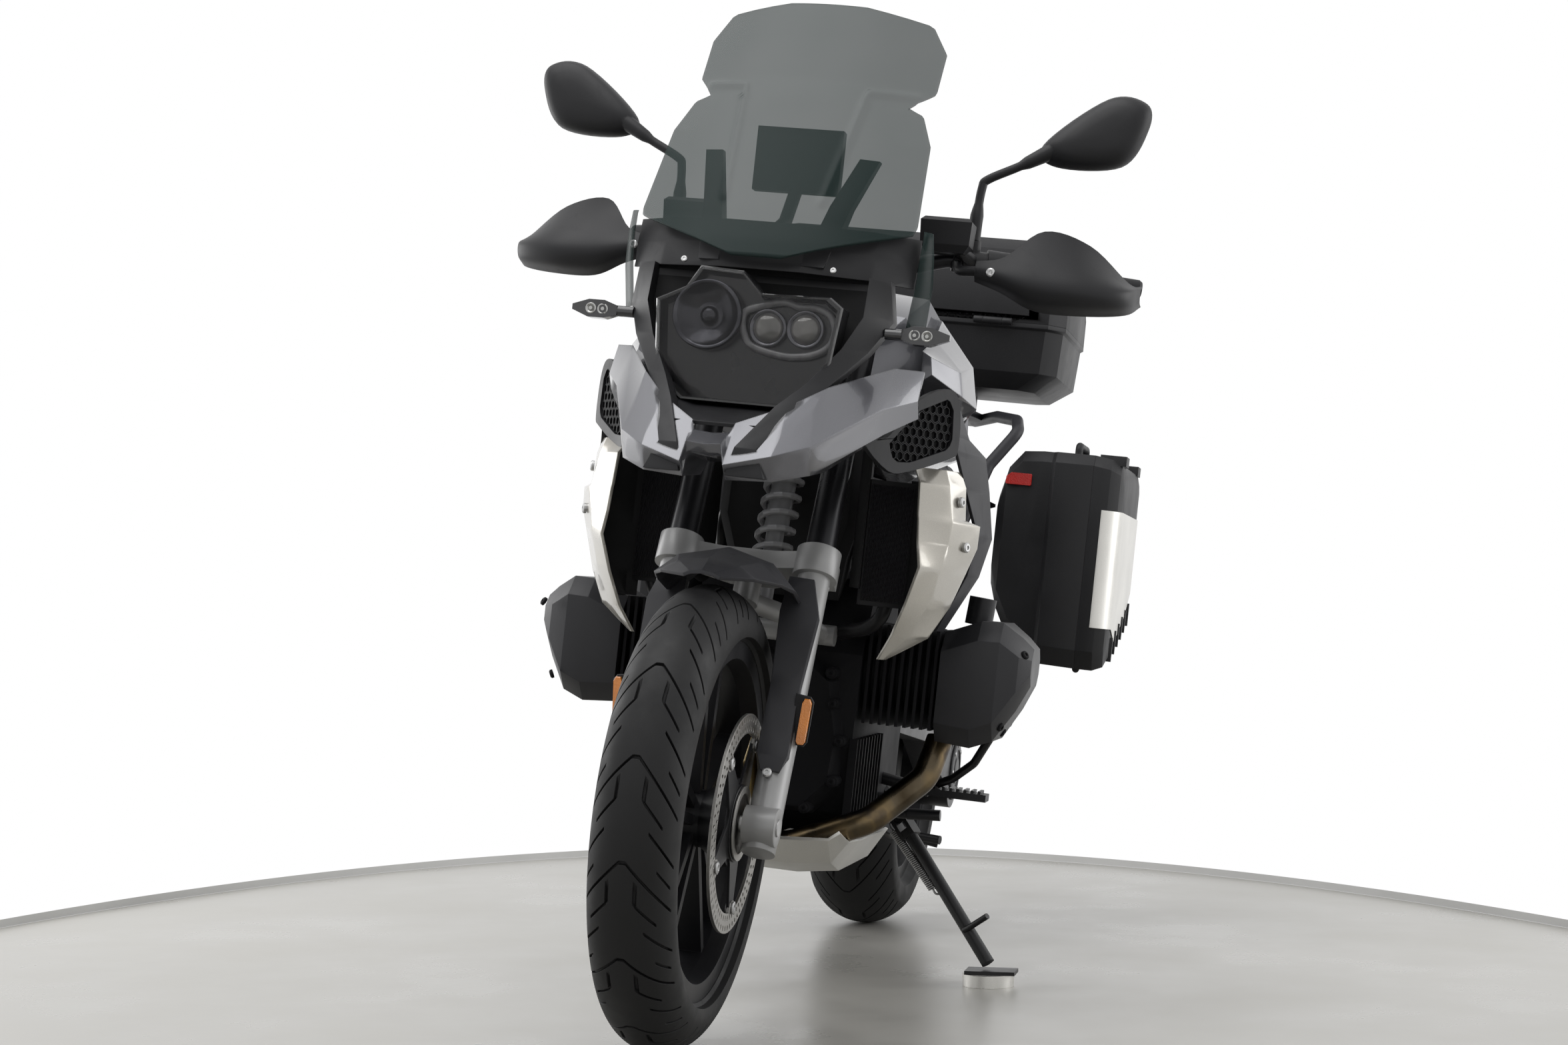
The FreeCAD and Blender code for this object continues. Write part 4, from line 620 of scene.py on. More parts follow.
add("windscreenShell", gather(*screenParts), "chassis", "tinted_screen", replacing=["windscreen"], crease=None)
print("windscreen made")

# headlamp: housing, reflector bowl, twin lenses, light ring and clear cover
headlamp = {
    "outline": [(-134, 1045), (-127, 964), (-114, 926), (-84, 904), (84, 904), (114, 926), (127, 964), (138, 1052), (119, 1066),
                (20, 1064), (-10, 1094), (-73, 1097), (-92, 1066)],
    "middle": (0, 985), "floor": -716, "bowl": (-57, 1028, 50), "lenses": [(30, 1017, 24), (84, 1019, 24)],
    "ring": [(20, 1048), (-4, 1038), (-8, 1022), (-3, 1004), (8, 990), (36, 982), (66, 979), (98, 984), (120, 998), (126, 1020),
             (118, 1040), (98, 1050), (72, 1050), (50, 1055)], "ringRadius": 5.5,
    # y and share of the outline, from back to front
    "housing": [(-620, 0.7), (-690, 0.995), (-736, 0.995), (-740, 0.975), (-739, 0.94), (-716, 0.9)],
    "cover": [(-737, 0.985), (-742, 0.975), (-746, 0.94), (-749, 0.7), (-750, 0.35)],
}
pianoBlack = clouded("pianoBlack", (0.006, 0.006, 0.007), (0.011, 0.011, 0.012), (0.2, 0.3), (9, 3), (14, 3),
                     coat=0.6, coatRough=0.04).material
darkChrome, lensChrome = (clouded(name, low, high, (0.1, 0.25), (40, 3), (12, 2), metallic=1).material for name, low, high in
                          (("lampReflector", (0.035, 0.035, 0.04), (0.1, 0.1, 0.11)),
                           ("lensChrome", (0.1, 0.1, 0.11), (0.24, 0.24, 0.26))))
# the lenses' light grey colour is a painted reflection, brighter than the glass itself
paintedReflectionLens = clouded("lensGlass", (0.15, 0.145, 0.14), (0.36, 0.35, 0.33), (0.08, 0.16), (30, 2), (20, 2), metallic=0.2,
                   coat=1, coatRough=0.02).material
glow = clouded("lightGuide", (0.2, 0.2, 0.205), (0.34, 0.34, 0.35), (0.15, 0.3), (60, 2), (20, 2), coat=0.7,
               coatRough=0.05).material


def lampSkin(key):
    mx, mz = headlamp["middle"]
    return capped([[Vector((mx + (x - mx) * share, y, mz + (z - mz) * share)) for x, z in headlamp["outline"]]
                   for y, share in headlamp[key]])


def onLamp(spots, profile, depth):
    # turned forms that face ahead, each from its own radius
    return gather(*[spun(profile(r), (x, headlamp["floor"] + depth, z), (0, -1, 0)) for x, z, r in spots])


bowl = onLamp([headlamp["bowl"]], lambda r: [(r, -24), (r, -1), (r - 3, 0), (r - 6, -3), (r * 0.7, -12), (r * 0.4, -19),
                                            (13, -21), (12, -12), (7, -8), (0, -7)], -24)
rims = onLamp(headlamp["lenses"], lambda r: [(r + 3, 0), (r + 3, 12), (r, 13), (r - 2, 9)], 1)
balls = onLamp(headlamp["lenses"], lambda r: [(r - 2, 2)] + [((r - 2) * math.cos(a), 6 + 12 * math.sin(a))
                                                             for a in (math.pi * k / 20 for k in range(11))], 1)
ringLine = smoothLine([(x, headlamp["floor"] - 8, z) for x, z in headlamp["ring"]], 6, True)
for name, part, slotName, material, smooth, replacing in (
        ("lampHousing", lampSkin("housing"), "black_plastic", pianoBlack, False, ["headlamp"]),
        ("lampBowl", bowl, "lamp_glass", darkChrome, True, ()),
        ("lensRims", rims, "lamp_glass", lensChrome, True, ()),
        ("lampLenses", balls, "lamp_glass", paintedReflectionLens, True, ()),
        ("lightRing", tube(ringLine, headlamp["ringRadius"], 14, True), "lamp_glass", glow, True, ()),
        ("lampCover", lampSkin("cover"), "lamp_glass", clear("smokedCover", (0.012, 0.012, 0.014), 0.24), False, ())):
    add(name, part, "chassis", slotName, material, replacing, None, smooth)
print("headlamp made")

# seat: padded vinyl in two levels, puffed up by a cloth run, with sewn seams
seat = {
    "stations": [(156, 90, 802, 838), (240, 124, 792, 844), (380, 144, 794, 856), (424, 134, 802, 900), (560, 129, 818, 918),
                 (736, 102, 834, 922)],
    "rows": 60, "points": 40, "bulge": (0.5, 0.6), "voxel": 0.006, "cap": 0.01, "pressure": 4, "steps": 20,
    # seams across the seat at each y, and one along each side of it
    "seams": [200, 300, 372, 470, 600], "seamDepth": 3.5, "sideSeam": 78, "sideDepth": 2.5, "seamHalf": 4,
}


def puffed(made):
    # swell a closed form as stuffing does, no point moving further than the cap
    cloth = made.modifiers.new("stuffing", "CLOTH")
    cloth.settings.use_pressure = True
    cloth.settings.uniform_pressure_force = seat["pressure"]
    cloth.settings.effector_weights.gravity = 0
    for step in range(1, seat["steps"] + 1):
        scene.frame_set(step)
    swollen = evaluated(made)
    made.modifiers.remove(cloth)
    scene.frame_set(1)
    for v, w in zip(made.data.vertices, swollen.vertices):
        move = w.co - v.co
        v.co += move * min(1, seat["cap"] / max(move.length, 1e-6))
    bpy.data.meshes.remove(swollen)


rings = [[Vector((x, y, z)) for x, z in bulgedRing(*station, seat["points"], seat["bulge"])]
         for y, station in levels(seat["stations"], seat["rows"])]
cushion = inScene("seatCushion", meshFrom("seatCushion", *capped(rings)))
remesh = cushion.modifiers.new("even", "REMESH")
remesh.mode = "VOXEL"
remesh.voxel_size = seat["voxel"]
even = evaluated(cushion)
cushion.modifiers.remove(remesh)
cushion.data = even
puffed(cushion)
for v in cushion.data.vertices:
    # seams drawn in on the upper side, after the remesh
    p = toUpright @ v.co
    across = sum(math.exp(-((p.y - y) / seat["seamHalf"]) ** 2) for y in seat["seams"])
    along = math.exp(-((abs(p.x) - seat["sideSeam"]) / seat["seamHalf"]) ** 2)
    half, bottom, top = between(seat["stations"], p.y)
    if p.z > 0.5 * (bottom + top):
        p.z -= across * seat["seamDepth"] + along * seat["sideDepth"]
        v.co = toRow @ p
cushion.data.polygons.foreach_set("use_smooth", [True] * len(cushion.data.polygons))
cushion.data.materials.clear()
cushion.data.materials.append(finishes["seat_vinyl"])
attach(cushion, "chassis")
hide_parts("seat")
print("seat made")


class Shaping(Graph):
    # a geometry tree with named inputs, baked to a plain mesh
    def __init__(self, name, **inputs):
        super().__init__(bpy.data.node_groups.new(name, "GeometryNodeTree"))
        face = self.tree.interface
        face.new_socket("Geometry", in_out="INPUT", socket_type="NodeSocketGeometry")
        self.sockets = {}
        for label, value in inputs.items():
            kind = {int: "NodeSocketInt", float: "NodeSocketFloat", tuple: "NodeSocketVector"}[type(value)]
            made = face.new_socket(label, in_out="INPUT", socket_type=kind)
            made.default_value = value
            self.sockets[label] = made.identifier
        face.new_socket("Geometry", in_out="OUTPUT", socket_type="NodeSocketGeometry")
        self.entry = self.tree.nodes.new("NodeGroupInput")
        self.exit = self.tree.nodes.new("NodeGroupOutput")

    def given(self, label):
        return Wire(self, self.entry.outputs[label])

    def close(self, shape):
        self.put(self.exit, 0, self.node("GeometryNodeRealizeInstances", sockets={"Geometry": shape}))
        return self

    def bake(self, name, base, matrix=Matrix(), **values):
        # drawn upright in millimetres, brought to the row
        maker = inScene(name, base)
        modifier = maker.modifiers.new("shaping", "NODES")
        modifier.node_group = self.tree
        for label, value in values.items():
            modifier[self.sockets[label]] = value
        mesh = evaluated(maker)
        bpy.data.objects.remove(maker)
        mesh.transform(matrix)
        mesh.transform(toRow)
        mesh.materials.clear()
        return mesh


def boltTree():
    # a domed head with a hexagon hole, set on every point and turned to its aim
    t = Shaping("boltHeads", headRise=0.55)
    filled = {"fill_type": "NGON"}
    head = t.node("GeometryNodeMeshCylinder", filled, {"Vertices": 20, "Radius": 1.0, "Depth": 1.0})
    dome = t.node("GeometryNodeMeshCone", filled, {"Vertices": 20, "Radius Top": 0.72, "Radius Bottom": 1.0, "Depth": 0.4})
    raised = t.node("GeometryNodeTransform", sockets={"Geometry": dome, "Translation": (0, 0, 0.5)})
    hole = t.node("GeometryNodeMeshCylinder", filled, {"Vertices": 6, "Radius": 0.42, "Depth": 1.2})
    sunk = t.node("GeometryNodeTransform", sockets={"Geometry": hole, "Translation": (0, 0, 0.55)})
    solid = t.node("GeometryNodeMeshBoolean", {"operation": "DIFFERENCE"}, {"Mesh 1": raised, "Mesh 2": sunk})
    both = t.node("GeometryNodeJoinGeometry", sockets={0: head})
    t.put(both.socket.node, 0, solid)
    aim = t.node("GeometryNodeInputNamedAttribute", {"data_type": "FLOAT_VECTOR"}, {"Name": "aim"})
    size = t.node("GeometryNodeInputNamedAttribute", {"data_type": "FLOAT"}, {"Name": "size"})
    turned = t.node("FunctionNodeAlignRotationToVector", {"axis": "Z"}, {"Vector": aim})
    scale = t.node("ShaderNodeCombineXYZ", sockets={"X": size, "Y": size, "Z": size * t.given("headRise")})
    return t.close(t.node("GeometryNodeInstanceOnPoints", sockets={"Points": Wire(t, t.entry.outputs[0]), "Instance": both,
                                                                   "Rotation": turned, "Scale": scale}))


def coilTree():
    # a wire wound round its axis
    t = Shaping("coil", turns=8.0, wireRadius=1.0, coilRadius=5.0, length=50.0)
    line = t.node("GeometryNodeCurveSpiral", sockets={"Resolution": 20, "Rotations": t.given("turns"),
                                                      "Start Radius": t.given("coilRadius"),
                                                      "End Radius": t.given("coilRadius"), "Height": t.given("length")})
    wire = t.node("GeometryNodeCurvePrimitiveCircle", {"mode": "RADIUS"}, {"Resolution": 8, "Radius": t.given("wireRadius")})
    return t.close(t.node("GeometryNodeCurveToMesh", sockets={"Curve": line, "Profile Curve": wire, "Fill Caps": True}))


def stackTree():
    # thin plates set one beside the next
    t = Shaping("stack", count=10, step=(0.0, 0.0, 1.0), size=(1.0, 1.0, 1.0))
    line = t.node("GeometryNodeMeshLine", {"mode": "OFFSET"}, {"Count": t.given("count"), "Offset": t.given("step")})
    plate = t.node("GeometryNodeMeshCube", sockets={"Size": t.given("size")})
    return t.close(t.node("GeometryNodeInstanceOnPoints", sockets={"Points": line, "Instance": plate}))


bolts, coils, stacks = boltTree(), coilTree(), stackTree()


def boltSet(name, body, slotName, places):
    # places: (x, y, z, aim, head radius)
    base = bpy.data.meshes.new(name + "Points")
    base.from_pydata([p[:3] for p in places], [], [])
    aims = [c for p in places for c in Vector(p[3]).normalized()]
    base.attributes.new("aim", "FLOAT_VECTOR", "POINT").data.foreach_set("vector", aims)
    base.attributes.new("size", "FLOAT", "POINT").data.foreach_set("value", [float(p[4]) for p in places])
    addObject(name, bolts.bake(name, base), body, slotName)


def plateStacks(suffix, given, slotName, material=None):
    # a row of thin plates on each side of the machine
    (x, y, z), (stepX, stepY, stepZ) = given["start"], given["step"]
    for side, label in sides:
        name = label + suffix
        mesh = stacks.bake(name, bpy.data.meshes.new(name), Matrix.Translation((side * x, y, z)), count=given["count"],
                           step=(side * stepX, stepY, stepZ), size=given["size"])
        addObject(name, mesh, "chassis", slotName, material)


def sideSheets(suffix, grid, thickness, body, slotName, material=None):
    # a sheet on each side, from a grid of points on machine-left
    for side, label in sides:
        sheet = [[Vector((side * x, y, z)) for x, y, z in row] for row in grid]
        add(label + suffix, thickSheet(sheet, thickness * side), body.format(label), slotName, material)


def bothSides(places):
    return places + [(-x, y, z, (-a[0], a[1], a[2]), r) for x, y, z, a, r in places]


# screws that show
screws = {
    "cowlScrews": ("chassis", [(109, -699, 1108, (0, -1, 0.3), 4.6)]),
    "radiatorScrews": ("chassis", [(288, -446, 808, (0.95, -0.3, 0), 8), (299, -428, 742, (0.9, -0.44, 0), 8)]),
    "guardScrews": ("steering", [(284, -370, 1164, (0, -1, 0), 7)]),
}
for name, (body, places) in screws.items():
    boltSet(name, body, "steel", bothSides(places))
print("screws made")

# brake discs: a drilled ring on a black carrier, with steel bobbins between them
discs = {
    "front": {"node": "front_discs", "centre": (0, -762.5, 325.3), "planes": (70, -70), "outer": 152.5, "inner": 125, "hub": 40,
              "holes": 66},
    "rear": {"node": "rear_disc", "centre": (0, 762.5, 318.3), "planes": (), "outer": 138, "inner": 108, "hub": 44,
             "holes": 60},
    "thickness": 4.5, "holeLong": 4.6, "holeWide": 2.6, "slant": 0.35, "arms": 5, "first": 0.5, "bobbinIn": 5,
    "lug": [(-16, 3), (-13, -6), (-8, -13), (0, -15), (8, -13), (13, -6), (16, 3)],
    "bobbin": [(0, -6), (6, -6), (9, -5), (9, -3.4), (7, -3), (7, 3), (9, 3.4), (9, 5), (6.4, 6), (4.6, 6), (4.2, 4), (0, 4)],
    # the carrier: its root's radius, half widths of an arm at root and tip, how far it passes the bobbins, where it lies
    "root": 58, "halfRoot": 26, "halfTip": 12, "chamfer": 4, "valley": 0.93, "pastBobbin": 3, "inward": 1.5, "halfThick": 2,
    "hubProfile": [(-12, -4), (-12, 5), (10, 5), (14, 3), (14, -4)], "sensorRing": [(42, 5.2), (42, 7.4), (52, 7.4), (52, 5.2)],
}


def drilledRing(inner, outer, x, count):
    # rows of cells, each with one slanted oval hole; every row starts half a cell after the last
    middle, width = (inner + outer) / 2, 2 * math.pi / count
    c, s = math.cos(discs["slant"]), math.sin(discs["slant"])
    points, faces = [], []
    for row, (low, high) in enumerate(((inner, middle), (middle, outer))):
        for i in range(count):
            start = (i + 0.5 * row) * width
            centre, radius = start + width / 2, (low + high) / 2
            rim = [(start, low), (centre, low), (start + width, low), (start + width, radius),
                   (start + width, high), (centre, high), (start, high), (start, radius)]
            hole = []
            for a, r in rim:
                turn = math.atan2(r - radius, (a - centre) * radius) - discs["slant"]
                u, v = discs["holeWide"] * math.cos(turn), discs["holeLong"] * math.sin(turn)
                hole.append((centre + (u * c - v * s) / radius, radius + u * s + v * c))
            base = len(points)
            for depth in (-discs["thickness"] / 2, discs["thickness"] / 2):
                points += [Vector((x + depth, r * math.sin(a), r * math.cos(a))) for a, r in rim + hole]
            for k in range(8):
                n = (k + 1) % 8
                faces.append((base + k, base + n, base + 8 + n, base + 8 + k))
                faces.append((base + 16 + k, base + 24 + k, base + 24 + n, base + 16 + n))
                faces.append((base + 8 + k, base + 8 + n, base + 24 + n, base + 24 + k))
            for k in ((4, 5) if row else (0, 1)):
                faces.append((base + k, base + 16 + k, base + 17 + k, base + k + 1))
    return points, faces


def starOutline(tip):
    # the carrier's outer edge: straight-sided arms on a round hub
    root = discs["root"]
    atRoot, atTip = discs["halfRoot"] / root, discs["halfTip"] / tip
    outline = []
    for a in turns(discs["arms"], discs["first"]):
        outline += [(a - atRoot, root), (a - atTip, tip - discs["chamfer"]), (a - 0.5 * atTip, tip), (a + 0.5 * atTip, tip),
                    (a + atTip, tip - discs["chamfer"]), (a + atRoot, root),
                    (a + math.pi / discs["arms"], root * discs["valley"])]
    return [(r * math.sin(a), r * math.cos(a)) for a, r in outline]


for key in ("front", "rear"):
    d = discs[key]
    node, inner, half = d["node"], d["inner"], discs["thickness"] / 2
    low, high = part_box(node)
    planes = d["planes"] or (round((toUpright @ ((Vector(low) + Vector(high)) / 2)).x, 1),)
    bobbinAt = inner - discs["bobbinIn"]
    rings, carriers, heads = [], [], []
    for x in planes:
        out = 1 if x > 0 else -1
        rings.append(drilledRing(inner, d["outer"], x, d["holes"]))
        for turn in turns(discs["arms"], discs["first"]):
            spin = Matrix.Rotation(-turn, 4, "X")
            rings.append(extruded([(a, inner + r) for a, r in discs["lug"]], -half, half,
                                  lambda a, r, depth: Vector((x + depth, 0, 0)) + spin @ Vector((0, a, r))))
            heads.append(spun(discs["bobbin"], Vector((x, 0, 0)) + spin @ Vector((0, 0, bobbinAt)), (1, 0, 0), 20))
        back, thick = -discs["inward"] * out, discs["halfThick"]
        carriers.append(extruded(starOutline(bobbinAt + discs["pastBobbin"]), back - thick, back + thick,
                                 lambda a, b, depth: Vector((x + depth, a, b))))
        carriers.append(spun([(d["hub"] + r, along) for r, along in discs["hubProfile"]], (x, 0, 0), (out, 0, 0)))
        rings.append(spun(discs["sensorRing"], (x, 0, 0), (out, 0, 0), 60))
    for label, parts, slotName in (("Rings", rings, "disc_steel"), ("Carriers", carriers, "black_cast"),
                                   ("Bobbins", heads, "steel")):
        points, faces = gather(*parts)
        add(key + "Disc" + label, ([p + Vector(d["centre"]) for p in points], faces), bodyOf[node], slotName,
            replacing=[node] if label == "Rings" else (), crease=30)
print("discs made")

# hand guards: a moulded shell from a clamp on the bar round the grip to the bar's end
guards = {
    "sections": {258: [(-352, 1150), (-360, 1158), (-362, 1170), (-354, 1182)],
                 300: [(-350, 1136), (-372, 1146), (-374, 1166), (-350, 1192)],
                 352: [(-336, 1114), (-372, 1130), (-374, 1166), (-306, 1242)],
                 424: [(-318, 1114), (-360, 1128), (-362, 1162), (-294, 1226)],
                 486: [(-290, 1124), (-322, 1136), (-324, 1158), (-276, 1176)],
                 504: [(-230, 1146), (-258, 1150), (-260, 1168), (-230, 1178)]},
    "thickness": 4, "bar": ((205, -295.9, 1189.1), (455, -225.9, 1177.1)),
    "arm": [(266, -357, 1166), (248, -350, 1166), (232, -340, 1167), (224, -318, 1175)], "armRadius": 8,
    "armEnd": (218, -8, -6),
    # sleeves on the bar: from, to, and share of the way with radius
    "sleeves": [(455, 500, [(0, 14), (0.06, 15), (0.9, 15), (1, 12)]), (211, 225, [(0, 18), (0.15, 19), (0.85, 19), (1, 18)])],
}


def alongBar(x):
    a, b = (Vector(p) for p in guards["bar"])
    return a + (b - a) * (x - a.x) / (b.x - a.x)


def offBar(x, back, up):
    return alongBar(x) + Vector((0, back, up))


def barSleeve(start, end, profile):
    # a turned form on the bar
    a, b = alongBar(start), alongBar(end)
    long = (b - a).length
    return spun([(0, 0)] + [(radius, share * long) for share, radius in profile] + [(0, long)], a, b - a, 28)


shell = skinGrid([[Vector((x, y, z)) for y, z in line] for x, line in guards["sections"].items()], 7, 6)
arm = smoothLine(guards["arm"] + [offBar(*guards["armEnd"])], 4)
guardParts = [thickSheet(shell, -guards["thickness"]), tube(arm, guards["armRadius"])]
guardParts += [barSleeve(*sleeve) for sleeve in guards["sleeves"]]
add("handGuardShells", pair(*guardParts), "steering", "black_plastic", replacing=["hand_guards"])

# mirrors: a crowned shell on a bent stalk, with its glass behind
mirrors = {
    "outline": [(332, 1382), (356, 1350), (455, 1357), (490, 1416), (484, 1456), (425, 1459)],
    # distance ahead and share of the outline, from the rim to the crown
    "crown": [(260, 1.0), (266, 1.02), (274, 1.0), (283, 0.94), (290, 0.83), (295, 0.66), (298, 0.4), (299, 0.12)],
    "lean": 10, "lip": (0.93, -263, -260), "glass": (0.92, -262.6, -260.4), "foot": (240, -2, 34),
    "stalk": [(241, -286, 1262), (244, -282, 1306), (252, -281, 1320), (300, -279, 1345), (352, -277, 1375)],
    "stalkRadius": [10.5] * 6 + [9] + [7] * 14 + [10, 11, 12, 13, 13.5],
}
outline = smoothLine([(x, 0, z) for x, z in mirrors["outline"]], 8, True)
heart = sum(outline, Vector()) / len(outline)


def mirrorRing(share, y, lean=0):
    return [Vector((p.x, y, p.z)) for p in (heart + (q - heart) * share + Vector((lean, 0, 0)) for q in outline)]


def mirrorRings(share, *depths):
    return [mirrorRing(share, y) for y in depths]


crown = [mirrorRing(share, -ahead, mirrors["lean"] * (1 - share)) for ahead, share in mirrors["crown"]]
back = capped(mirrorRings(*mirrors["lip"]) + crown)
stalk = tube(smoothLine([offBar(*mirrors["foot"])] + mirrors["stalk"], 5), mirrors["stalkRadius"], 14)
add("mirrorShells", pair(back, stalk), "steering", "black_plastic", replacing=["mirrors"])
silvered = clouded("mirrorGlass", (0.6, 0.63, 0.66), (0.7, 0.73, 0.75), (0.02, 0.06), (4, 2), (30, 3), metallic=1).material
add("mirrorGlasses", pair(capped(mirrorRings(*mirrors["glass"]))), "steering", "black_plastic", silvered)
print("guards and mirrors made")

# amber reflectors on the front legs, in black holders
legs = {
    "reflector": [(128, 443), (131, 439), (138, 439), (141, 443), (145, 498), (142, 504), (135, 504), (132, 498)],
    "holder": [(118, 446), (120, 438), (138, 436), (143, 443), (147, 500), (142, 507), (120, 510)],
}
legFace = facing(-700, way=-1)
amber = reflector("amberReflector", (0.88, 0.27, 0.02))
add("legReflectors", pair(slab(legs["reflector"], -3, 5, legFace)), "steering", "black_plastic", amber)
add("reflectorHolders", pair(slab(legs["holder"], -8, -2.6, legFace)), "steering", "black_plastic")

# indicators: two lamps on each side
indicator = {"places": [(230, -671, 1029), (248, -671, 1029)],
             "profile": [(0, 0), (8, 0), (8, 2.5), (6.5, 3), (4, 1.4), (2.6, 3.6), (0, 4)]}
bulbs = [spun(indicator["profile"], place, (0, -1, 0), 20) for place in indicator["places"]]
lampChrome = clouded("indicatorChrome", (0.306, 0.306, 0.2975), (0.432, 0.432, 0.42), (0.18, 0.3), metallic=1).material
add("indicatorLamps", pair(*bulbs), "chassis", "lamp_glass", lampChrome)

# stand spring, one turn beside the next, hooked to the leg at both ends; places are (down the leg, beside it)
spring = {
    "pivot": (166, 20, 292), "ankle": (354, -57, 75), "beside": (-0.62, 0.1, -0.56), "ends": ((22, 26), (142, 18)),
    "radius": 6.5, "wire": 1.5, "turns": 34, "hooks": [((4, 12), (10, 26), (24, 26)), ((140, 18), (152, 18), (158, 6))],
    "hookRadius": 1.8,
}
pivot, ankle = Vector(spring["pivot"]), Vector(spring["ankle"])
legWay = (ankle - pivot).normalized()


def onLeg(down, off):
    return pivot + legWay * down + Vector(spring["beside"]) * off


start, end = (onLeg(*place) for place in spring["ends"])
springTurn = Matrix.Translation(start) @ (end - start).to_track_quat("Z", "Y").to_matrix().to_4x4()
springMetal = brushed("springSteel", (0.3, 0.3, 0.3), (1, 1, 1), 0.34)
coil = coils.bake("standSpring", bpy.data.meshes.new("standSpring"), springTurn, turns=float(spring["turns"]),
                  wireRadius=spring["wire"], coilRadius=spring["radius"], length=(end - start).length)
addObject("standSpring", coil, "side_stand", "steel", springMetal)
hooks = [tube(smoothLine([onLeg(*place) for place in hook], 4), spring["hookRadius"]) for hook in spring["hooks"]]
add("springHooks", gather(*hooks), "side_stand", "steel", springMetal)

# panniers: a ribbed alloy plate over each lid, and a red reflector
panniers = {
    "path": [(418, 404.4), (428, 404.4), (438, 409.5), (446.6, 417.6), (450.5, 428), (452.8, 440), (452.8, 530), (452.8, 620),
             (452.8, 710), (452.8, 800), (450.5, 811), (446.6, 820.6), (438, 826), (428, 830.6), (418, 830.6)],
    "top": 846, "bottom": 590, "slope": 0.2625, "slopeFrom": 460, "frontCut": (452, 632), "backCut": (796, 702),
    "thickness": 1.6, "rows": 12, "rib": 0.8, "ribAt": 745, "ribHalf": 6, "ribFrom": 450, "ribTo": 790,
    "reflector": [(236, 880), (238, 878), (282, 878), (284, 880), (284, 898), (282, 900), (246, 900), (237, 892)],
}
p = panniers
plateGrid = []
for row in range(p["rows"] + 1):
    plateGrid.append([])
    for x, y in p["path"]:
        low = max(p["bottom"] + p["slope"] * (y - p["slopeFrom"]), p["frontCut"][1] if y < p["frontCut"][0] else 0,
                  p["backCut"][1] if y > p["backCut"][0] else 0)
        z = low + (p["top"] - low) * (row / p["rows"])
        rib = p["rib"] * max(0, 1 - abs((z - p["ribAt"]) / p["ribHalf"])) if p["ribFrom"] < y < p["ribTo"] else 0
        plateGrid[-1].append((x + rib, y, z))
sideSheets("PannierPlate", plateGrid, -p["thickness"], "pannier_lid_{}", "aluminium")
red = reflector("redReflector", (0.55, 0.025, 0.02))
add("pannierReflectors", pair(slab(p["reflector"], -6, 2.5, facing(424, way=-1))), "chassis", "case_black", red)

# bolts on the front cover, the mudguard and the fork
more = {
    "coverBolts": ("chassis", "engine_black", [(x, -357, z, (0, -1, 0), 6.5) for x, z in
                                               ((101, 529), (108, 482), (124, 426), (119, 363), (80, 318))]),
    "legGuardScrews": ("steering", "steel", [(100, -741, 398, (0, -0.9, 0.43), 7)]),
    "bridgeBolts": ("steering", "steel", [(122, y, z, (0.9, 0.3, 0.2), 5) for y, z in ((-560, 660), (-556, 682))]),
}
for name, (body, slotName, places) in more.items():
    boltSet(name, body, slotName, bothSides(places))

# ribbed rubber grips
grips = {"from": 318, "to": 438, "ribs": 26, "rib": [(0.2, 17.3), (0.35, 18.2), (0.7, 18.2), (0.85, 17.3)], "radius": 17.2}
ribs = [((k + share) / grips["ribs"], radius) for k in range(grips["ribs"]) for share, radius in grips["rib"]]
sleeve = barSleeve(grips["from"], grips["to"], [(0, grips["radius"])] + ribs + [(1, grips["radius"])])
add("gripRubbers", pair(sleeve), "steering", "black_plastic")
print("trim made")

# radiator fins between their tanks
fins = {"count": 34, "start": (150.5, -440.5, 735), "step": (1.86, 0.56, 0.0), "size": (0.6, 3.4, 176)}
plateStacks("RadiatorFins", fins, "radiator_black", castMetal("finMetal", (0.02, 0.02, 0.022), 0.4, 0.4))

# air inlets: a moulded frame round a dark honeycomb of thin walls, with a near-black backing behind it that is painted
# shade
inlets = {
    "frameLine": [(-62, 874), (-18, 886), (38, 946), (96, 970), (124, 950), (130, 884), (112, 868), (34, 842), (-10, 838)],
    "mouth": [(-14, 876), (38, 930), (100, 956), (112, 940), (116, 892), (104, 880), (34, 855), (0, 852)],
    "place": (205, -590), "turn": math.atan2(0.815, 0.58), "depth": 9, "soften": 1.5, "backing": (-8.8, -8.2),
    "cell": 7.6, "pitch": 14.4, "rowStep": 0.866, "wall": 1.1, "rows": 10, "columns": 12,
    "first": (-22, 850), "walls": (-8.4, -3), "slack": 2,
}


def inletPlace(a, b, depth):
    # the inlet's own plane, turned outward, back to the upright machine
    (x, y), c, s = inlets["place"], math.cos(inlets["turn"]), math.sin(inlets["turn"])
    return Vector((x + a * c + depth * s, y + a * s - depth * c, b))


def edges(line):
    return zip(line, line[1:] + line[:1])


def insideLine(a, b, line, slack):
    # whether a point is within a clockwise outline, or past it by no more than the slack
    return all(((bx - ax) * (b - ay) - (by - ay) * (a - ax)) / math.hypot(bx - ax, by - ay) <= slack
               for (ax, ay), (bx, by) in edges(line))


def inletBand(*walks):
    # a closed band through outlines at their depths
    return bridge([[inletPlace(a, b, depth) for a, b in line] for line, depth in walks], closedLong=True)


def hexagon(a, b, radius):
    return [(a + radius * math.sin(k * math.pi / 3), b + radius * math.cos(k * math.pi / 3)) for k in range(6)]


heartA, heartB = (sum(values) / len(inlets["mouth"]) for values in zip(*inlets["mouth"]))


